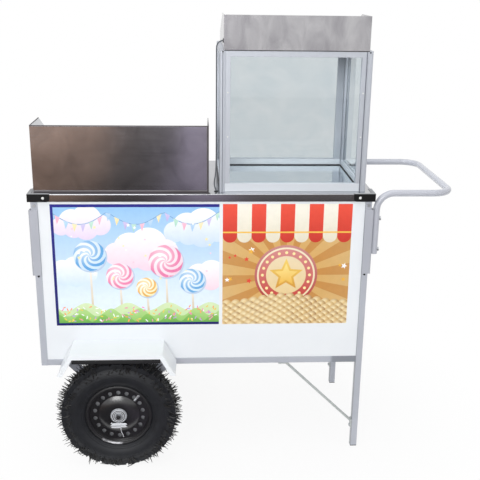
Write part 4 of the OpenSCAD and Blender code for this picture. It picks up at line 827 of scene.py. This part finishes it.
WHISKERS = whisker_tree()
for side, seed in (("near", 3), ("far", 4)):
    hairs = new_piece(side + "_tyre_whiskers", SHOWN[side + "_tyre"].data.copy(), whisker_rubber)
    grow(hairs, WHISKERS, {"Axle": AXLE, "Inner radius": 0.157, "Number per square metre": 9500.0,
                           "Thickness": 0.0036, "Shortest": 0.008, "Longest": 0.026, "Lean": 0.9, "Seed": seed,
                           "Rubber": whisker_rubber}, whisker_rubber)
    # On the inner walls they bend before they reach the cabinet
    for vertex in hairs.data.vertices:
        vertex.co.y = math.copysign(max(abs(vertex.co.y), CABINET_CLEAR), vertex.co.y)
    settle(hairs, side + "_wheel", "tyre_rubber")


# Rivets and screws

def heads_tree():
    tree, given = new_tree("heads_on_points", [
        ("Points", "Geometry"), ("Head", "Object"), ("Diameter", "Float"), ("Metal", "Material")])
    out = add(tree, "GeometryNodeInputNamedAttribute", {"Name": "out"}, data_type="FLOAT_VECTOR")
    laid = add(tree, "FunctionNodeAlignRotationToVector", {"Vector": out}, axis="Z")
    head = add(tree, "GeometryNodeObjectInfo", {"Object": given["Head"]})
    heads = add(tree, "GeometryNodeInstanceOnPoints", {
        "Points": given["Points"], "Instance": head.outputs["Geometry"], "Rotation": laid, "Scale": given["Diameter"]})
    return end_tree(tree, heads, given["Metal"])


HEADS = heads_tree()
BACK, FRONT, UP = (0, 1, 0), (0, -1, 0), (0, 0, 1)
DOME = turned("dome_head", None, ([(0, 340), (190, 315), (360, 215), (460, 90), (500, 0), (500, -60), (0, -60)],
                                  (0, 0, 0), UP, 16, False))
PAN = turned("pan_head", None, ([(0, 130), (210, 150, 70), (230, 330, 80), (360, 320), (460, 230), (500, 60),
                                 (500, -60), (0, -60)], (0, 0, 0), UP, 12, False))


def set_heads(name, body, slot, material, head, diameter_mm, spots):
    """Heads of one kind on one body; each spot is a place on the face, in mm, and the way out of it."""
    mesh = bpy.data.meshes.new(name)
    mesh.from_pydata([Vector(place) * MM for place, out in spots], [], [])
    way = mesh.attributes.new("out", "FLOAT_VECTOR", "POINT")
    for i, (place, out) in enumerate(spots):
        way.data[i].vector = out
    piece = grow(new_piece(name, mesh, material), HEADS,
                 {"Head": head, "Diameter": diameter_mm * MM, "Metal": material}, material)
    bm = bmesh.new()
    bm.from_mesh(piece.data)
    shade(bm, SHARP)
    bm.to_mesh(piece.data)
    bm.free()
    settle(piece, body, slot)


# Faces that the heads stand on, in mm: back of the cabinet, front of the posts, and front and back of the case
CABINET_BACK, POST_FRONT, CASE_FRONT, CASE_BACK = 246, -244.5, -215.5, 173.7
GUARD_FOOT, HEADER_FOOT = 928.5, 1372
TABLE_LEFT, TABLE_RIGHT, TABLE_Y, SKIRT_Z = -683, 417, 247.5, 914.5
CORNER, CORNER_RUN = 3, 47
POST_X = (-666, 400)
CAB_HINGE_Z = [z + lift for z in (478, 711.5) for lift in (13, 47)]
CASE_HINGE_Z = [z + lift for z in (987, 1267) for lift in (9, 33)]
DIAL, DIAL_RADIUS = (-341.5, CABINET_BACK, 858.5), 22
DIAL_TURNS = [math.radians(27 * i) for i in range(11)]

corner_spots = []
for x, way in ((TABLE_LEFT, -1), (TABLE_RIGHT, 1)):
    for side in (-1, 1):
        corner_spots += [((x - way * CORNER_RUN, side * (TABLE_Y + CORNER), SKIRT_Z), (0, side, 0)),
                         ((x + way * CORNER, side * (TABLE_Y - CORNER_RUN), SKIRT_Z), (way, 0, 0))]
set_heads("corner_rivets", "cart", "white_plastic", white_plastic, DOME, 9, corner_spots)
set_heads("fixed_leaf_screws", "cart", "zinc", zinc_plate, PAN, 6,
          [((x, CABINET_BACK, z), BACK) for x in (-665.3, 399.3) for z in CAB_HINGE_Z]
          + [((382.5, CASE_BACK, z), BACK) for z in CASE_HINGE_Z])
for door, x in (("left_door", -641.7), ("right_door", 375.7)):
    set_heads(door + "_screws", door + "_leaf", "zinc", zinc_plate, PAN, 6,
              [((x, CABINET_BACK, z), BACK) for z in CAB_HINGE_Z])
set_heads("case_door_screws", "case_door", "zinc", zinc_plate, PAN, 5,
          [((362, CASE_BACK, z), BACK) for z in CASE_HINGE_Z])
set_heads("strip_screws", "cart", "zinc", zinc_plate, PAN, 6,
          [((x, CABINET_BACK, z), BACK) for x in (-644, -440, -133, 120, 378) for z in (821, 893)]
          + [((-521.5 + dx, 249, 858.5), BACK) for dx in (-20.5, 20.5)])
set_heads("panel_rivets", "cart", "zinc", zinc_plate, DOME, 5,
          [((x, 242.5, 364), BACK) for x in (-643, -600, -210, -10, 190, 377)])
set_heads("sleeve_screws", "cart", "black_plastic", black_plastic, PAN, 7,
          [((x, POST_FRONT, 651), FRONT) for x in POST_X])
set_heads("post_screws", "cart", "steel", plain_steel, PAN, 9, [((x, POST_FRONT, 888), FRONT) for x in POST_X])
set_heads("stile_rivets", "cart", "white_plastic", white_plastic, DOME, 5,
          [((x, -214, z), FRONT) for x in (-56, 366) for z in (1104, 1242)])
set_heads("post_top_screws", "cart", "black_plastic", black_plastic, PAN, 5,
          [((x, CASE_FRONT, 1366), FRONT) for x in (-72, 382)])
set_heads("screen_screws", "cart", "zinc", zinc_plate, PAN, 6,
          [((x, -220.5, GUARD_FOOT), UP) for x in (-630, -457, -326, -153)]
          + [((x, y, GUARD_FOOT), UP) for x in (-661.5, -121.5) for y in (-110, 50, 200)]
          + [((x, -208.5, HEADER_FOOT), UP) for x in (-30, 90, 220, 340)]
          + [((x, y, HEADER_FOOT), UP) for x in (-63.5, 373.5) for y in (-60, 100)])
set_heads("dial_dots", "cart", "black_plastic", black_plastic, DOME, 2.6,
          [((DIAL[0] + DIAL_RADIUS * math.sin(a), DIAL[1], DIAL[2] + DIAL_RADIUS * math.cos(a)), BACK)
           for a in DIAL_TURNS])
for form in (DOME, PAN):
    bpy.data.objects.remove(form)


# Wheel pieces, each a section in mm of radius and height from the wheel's middle plane

TYRE_RIDGES = ((113.5, 1.0), (117.5, 0.8), (122.5, 1.3), (150, 0.7), (157, 0.7))
TYRE_R, TYRE_HALF = 145, 42
AXLE_CAP = [(0, 42.6), (5.4, 42.4), (6.6, 41.6), (6.8, 34), (0, 34)]
VALVE = [(0, 0), (6.4, 0), (6.2, 2.5), (4.6, 5), (4.2, 13), (3.6, 14), (3.6, 15), (4.1, 15.4), (4.1, 24), (3.4, 25.2),
         (0, 25.4)]
VALVE_ANGLE, VALVE_R, VALVE_OUT, VALVE_LEAN = math.radians(46), 99.2, 21, 0.28


def wall_height(r):
    """Height of the sidewall above the tyre's middle plane at a radius, in mm."""
    return math.sqrt(TYRE_HALF ** 2 - (r - TYRE_R) ** 2)


def dome_profile(edge_r=67.5, inner_r=27.5, foot=18.3, steep=30, steps=12):
    """Section of the pressed dome: steep at its edge and level at the hub, closed along the disc."""
    rows, height, run = [(edge_r, foot)], foot, (edge_r - inner_r) / steps
    for i in range(steps):
        height += run * math.tan(math.radians(steep * (1 - (i + 0.5) / steps)))
        rows.append((edge_r - run * (i + 1), height))
    return rows + [(inner_r, 23.8), (51.8, 23.8), (64.5, 18.2)]


def wheel_pieces(side, way):
    """Ridges on the tyre's walls, the disc's dome, a ring that stands in for the shade seen through its holes,
    the rolled flange with a painted glint, the hub's trim and the valve.
    """
    wheel, middle, out = side + "_wheel", (AXLE.x, way * WHEEL_Y, AXLE.z), (0, way, 0)
    rim_out = Vector((math.cos(VALVE_ANGLE), 0, math.sin(VALVE_ANGLE)))
    foot = AXLE + Vector((0, way * (WHEEL_Y + VALVE_OUT * MM), 0)) + rim_out * VALVE_R * MM
    lean = Vector((0, way * VALVE_LEAN, 0)) - rim_out
    ridges = [(disc(r, wall_height(r) - 0.2, d, 8), middle, wall, 96, True)
              for r, d in TYRE_RIDGES for wall in (FRONT, BACK)]
    for name, material, body, slot, turns in (
            ("tyre_ridges", tyre_rubber, wheel, "tyre_rubber", ridges),
            ("disc_dome", black_enamel, wheel, "black_paint", [(dome_profile(), middle, out, 72, True)]),
            ("rim_roll", glint_enamel, wheel, "black_paint", [
                (disc(105.2, 26.2, 4.6, 8), middle, wall, 96, True) for wall in (FRONT, BACK)]),
            # Painted shade: a zinc ring behind the disc that stands in for the shade seen through its holes
            ("disc_liner", zinc_plate, wheel, "zinc", [(box(66, 11, 94, 12.2), middle, out, 72, True)]),
            ("hub_rings", wire_bright, "cart", "zinc", [
                (disc(r, 33.2, 1.5, 8), middle, out, 48, True) for r in (22.2, 17, 12.2)]),
            ("hub_felt", soft_rubber, "cart", "black_rubber", [(box(11, 32.9, 23, 33.5), middle, out, 48, True)]),
            ("axle_cap", soft_rubber, "cart", "black_rubber", [(AXLE_CAP, middle, out, 32, False)]),
            ("valve", zinc_plate, wheel, "zinc", [(VALVE, foot, lean, 20, False)])):
        settle(turned(f"{side}_{name}", material, *turns), body, slot)


for side, way in SIDES:
    wheel_pieces(side, way)


# Locking wire wound through the eye of each axle pin, with a loose tail

WIRE_D = 2.8 * MM


def drawn_wire(name, line):
    curve = wire_run(name + "_run", line, WIRE_D, 2)
    mesh = bpy.data.meshes.new_from_object(curve.evaluated_get(bpy.context.evaluated_depsgraph_get()))
    bpy.data.objects.remove(curve)
    return new_piece(name, mesh, wire_bright)


for side, way in SIDES:
    run = []
    for k in range(11):
        end = 1 if k % 2 else -1
        run += [(end * (21 - (k % 3) * 2), 345 + (k % 4) * 1.5, -22 - 1.5 * k),
                (end * (23 - (k % 3) * 2), 347 + (k % 3) * 1.5, -23 - 1.5 * k)]
    run += [(6, 349, -39), (7, 349, -44), (9, 350, -54), (13, 350, -64), (15, 350, -72)]
    line = smooth_route([(AXLE.x / MM + x, way * y, AXLE.z / MM + z) for x, y, z in run], 5)
    settle(drawn_wire(side + "_locking_wire", line), "cart", "zinc")


# Seals and dark strips

def strips(name, body, slot, material, boxes, round_mm=0.4):
    """Plain moulded strips with softened edges, each from its low to its high corner in mm."""
    bm = bmesh.new()
    for low, high in boxes:
        for vert in bmesh.ops.create_cube(bm, size=1)["verts"]:
            vert.co = [(lo + hi) / 2 * MM + c * (hi - lo) * MM for lo, hi, c in zip(low, high, vert.co)]
    bmesh.ops.bevel(bm, geom=bm.edges[:], offset=round_mm * MM, segments=2, profile=0.5, affect="EDGES")
    shade(bm, SHARP)
    settle(new_piece(name, as_mesh(bm, name), material), body, slot)


FENDER_HALF = 143
strips("case_joint_seals", "cart", "black_rubber", seal_rubber,
       [((x, -215.9, 927.3), (x + 2.6, -213.4, 1368.8)) for x in (-73.6, 370.9)])
strips("case_floor_seals", "cart", "black_rubber", soft_rubber,
       [((-63, 151.9, 931.1), (373, 154.9, 934.1)), ((-64.3, -196, 931.1), (-61.5, 151.5, 934.1)),
        ((371.5, -196, 931.1), (374.3, 151.5, 934.1))])
# Painted shade: a dark strip under the header's front edge, standing for the shadow gap there
strips("header_foot_seal", "cart", "black_rubber", soft_rubber, [((-69.5, -215.6, 1368.6), (379.5, -213.6, 1370.6))])
strips("dial_pointer", "heat_dial", "white_plastic", white_plastic,
       [((DIAL[0] - 0.9, DIAL[1] + 15.2, DIAL[2] + 2.2), (DIAL[0] + 0.9, DIAL[1] + 16.6, DIAL[2] + 13.4))], 0.2)
# Black strips just below each fender's lip, which make the band under the lip dark
strips("fender_edging", "cart", "black_rubber", soft_rubber,
       [((AXLE_X - FENDER_HALF, y, 390), (AXLE_X + FENDER_HALF, y + 2, 406.5)) for y in (-356.8, 354.8)])


# Stage: pale floor, soft studio light and a glowing card for painted reflections

# Painted reflection: tones of the glowing card in front, from left to right: brown, near black, lilac and grey
REFLECTED_TONES = [(0.22, "#A48878"), (0.33, "#555050"), (0.45, "#555050"), (0.55, "#B8ACC0"), (0.66, "#777070")]
# Each lamp's name, place, aim, size and power
LAMPS = (
    ("softbox_overhead", (-0.4, -0.6, 3.8), (-0.15, 0.0, 0.6), (3.2, 3.2), 54),
    ("softbox_front", (-1.2, -4.5, 2.1), (-0.2, 0.0, 0.6), (2.0, 1.6), 76),
    ("case_fill", (0.155, -0.03, 1.33), (0.155, -0.03, 0.9), (0.3, 0.26), 2.2))


def light_paths(tree):
    """One for what the camera, a mirror or a pane sees, and nought for light on the object."""
    path = add(tree, "ShaderNodeLightPath").outputs
    seen = add(tree, "ShaderNodeMath", {0: path["Is Camera Ray"], 1: path["Is Glossy Ray"]}, operation="MAXIMUM")
    return add(tree, "ShaderNodeMath", {0: seen, 1: path["Is Transmission Ray"]}, operation="MAXIMUM")


def stage_plane(name, low, high, material):
    mesh = bpy.data.meshes.new(name)
    (x0, y0, z0), (x1, y1, z1) = low, high
    mesh.from_pydata([(x0, y0, z0), (x1, y0, z0), (x1, y1, z1), (x0, y1, z1)], [], [(0, 1, 2, 3)])
    plane = new_piece(name, mesh, material)
    return plane


def pale_floor():
    material, tree, place = blank("studio_floor_white")
    paint = add(tree, "ShaderNodeBsdfDiffuse", {"Color": srgb("#F2F2F2")})
    glow = add(tree, "ShaderNodeEmission", {"Color": srgb("#FFFFFF"), "Strength": 1.0})
    away = add(tree, "ShaderNodeVectorMath", {0: place}, operation="LENGTH")
    plain = add(tree, "ShaderNodeMapRange", {"Value": away, 1: 0.45, 2: 1.0, 3: 0.9, 4: 1.0})
    share = add(tree, "ShaderNodeMath", {0: light_paths(tree), 1: plain}, operation="MULTIPLY")
    mixed = add(tree, "ShaderNodeMixShader", {0: share, 1: paint, 2: glow})
    add(tree, "ShaderNodeOutputMaterial", {"Surface": mixed})
    stage_plane("studio_floor", (-30, -30, 0), (30, 30, 0), material)


def reflection_card():
    """Painted reflection: a glowing card in front of the stage, which only the polished sheets mirror."""
    material, tree, place = blank("studio_painted_reflection")
    along, deep, _ = add(tree, "ShaderNodeSeparateXYZ", {"Vector": place}).outputs
    share = add(tree, "ShaderNodeMapRange", {"Value": along, 1: -2.0, 2: 1.4})
    ramp = add(tree, "ShaderNodeValToRGB", {0: share})
    stops = ramp.color_ramp.elements
    while len(stops) < len(REFLECTED_TONES):
        stops.new(0.5)
    for stop, (position, code) in zip(stops, REFLECTED_TONES):
        stop.position = position
        stop.color = srgb(code)
    far = add(tree, "ShaderNodeMapRange", {"Value": deep, 1: -6.8, 2: -5.0, 3: 1.75, 4: 1.0})
    near = add(tree, "ShaderNodeMapRange", {"Value": deep, 1: -3.9, 2: -3.7, 3: 1.0, 4: 0.6})
    level = add(tree, "ShaderNodeMath", {0: far, 1: near}, operation="MULTIPLY")
    glow = add(tree, "ShaderNodeEmission", {"Color": ramp, "Strength": level})
    add(tree, "ShaderNodeOutputMaterial", {"Surface": glow})
    card = stage_plane("studio_dark_card", (-5, -9, 0.004), (5, -0.42, 0.004), material)
    card.visible_camera = False
    card.visible_diffuse = False
    card.visible_transmission = False
    card.visible_shadow = False


def studio_light():
    world = bpy.data.worlds.new("studio_world")
    bpy.context.scene.world = world
    world.use_nodes = True
    tree = world.node_tree
    tree.nodes.clear()
    strength = add(tree, "ShaderNodeMapRange", {"Value": light_paths(tree), 3: 0.55, 4: 1.0})
    back = add(tree, "ShaderNodeBackground", {"Color": srgb("#FFFFFF"), "Strength": strength})
    add(tree, "ShaderNodeOutputWorld", {"Surface": back})
    for name, place, aim, size, power in LAMPS:
        data = bpy.data.lights.new(name, "AREA")
        data.shape = "RECTANGLE"
        data.size, data.size_y = size
        data.energy = power
        lamp = put(name, data)
        lamp.location = place
        lamp.rotation_mode = "QUATERNION"
        lamp.rotation_quaternion = (Vector(aim) - Vector(place)).to_track_quat("-Z", "Y")
        lamp.visible_glossy = name != "case_fill"


pale_floor()
reflection_card()
studio_light()
bpy.context.scene.view_settings.view_transform = "Standard"
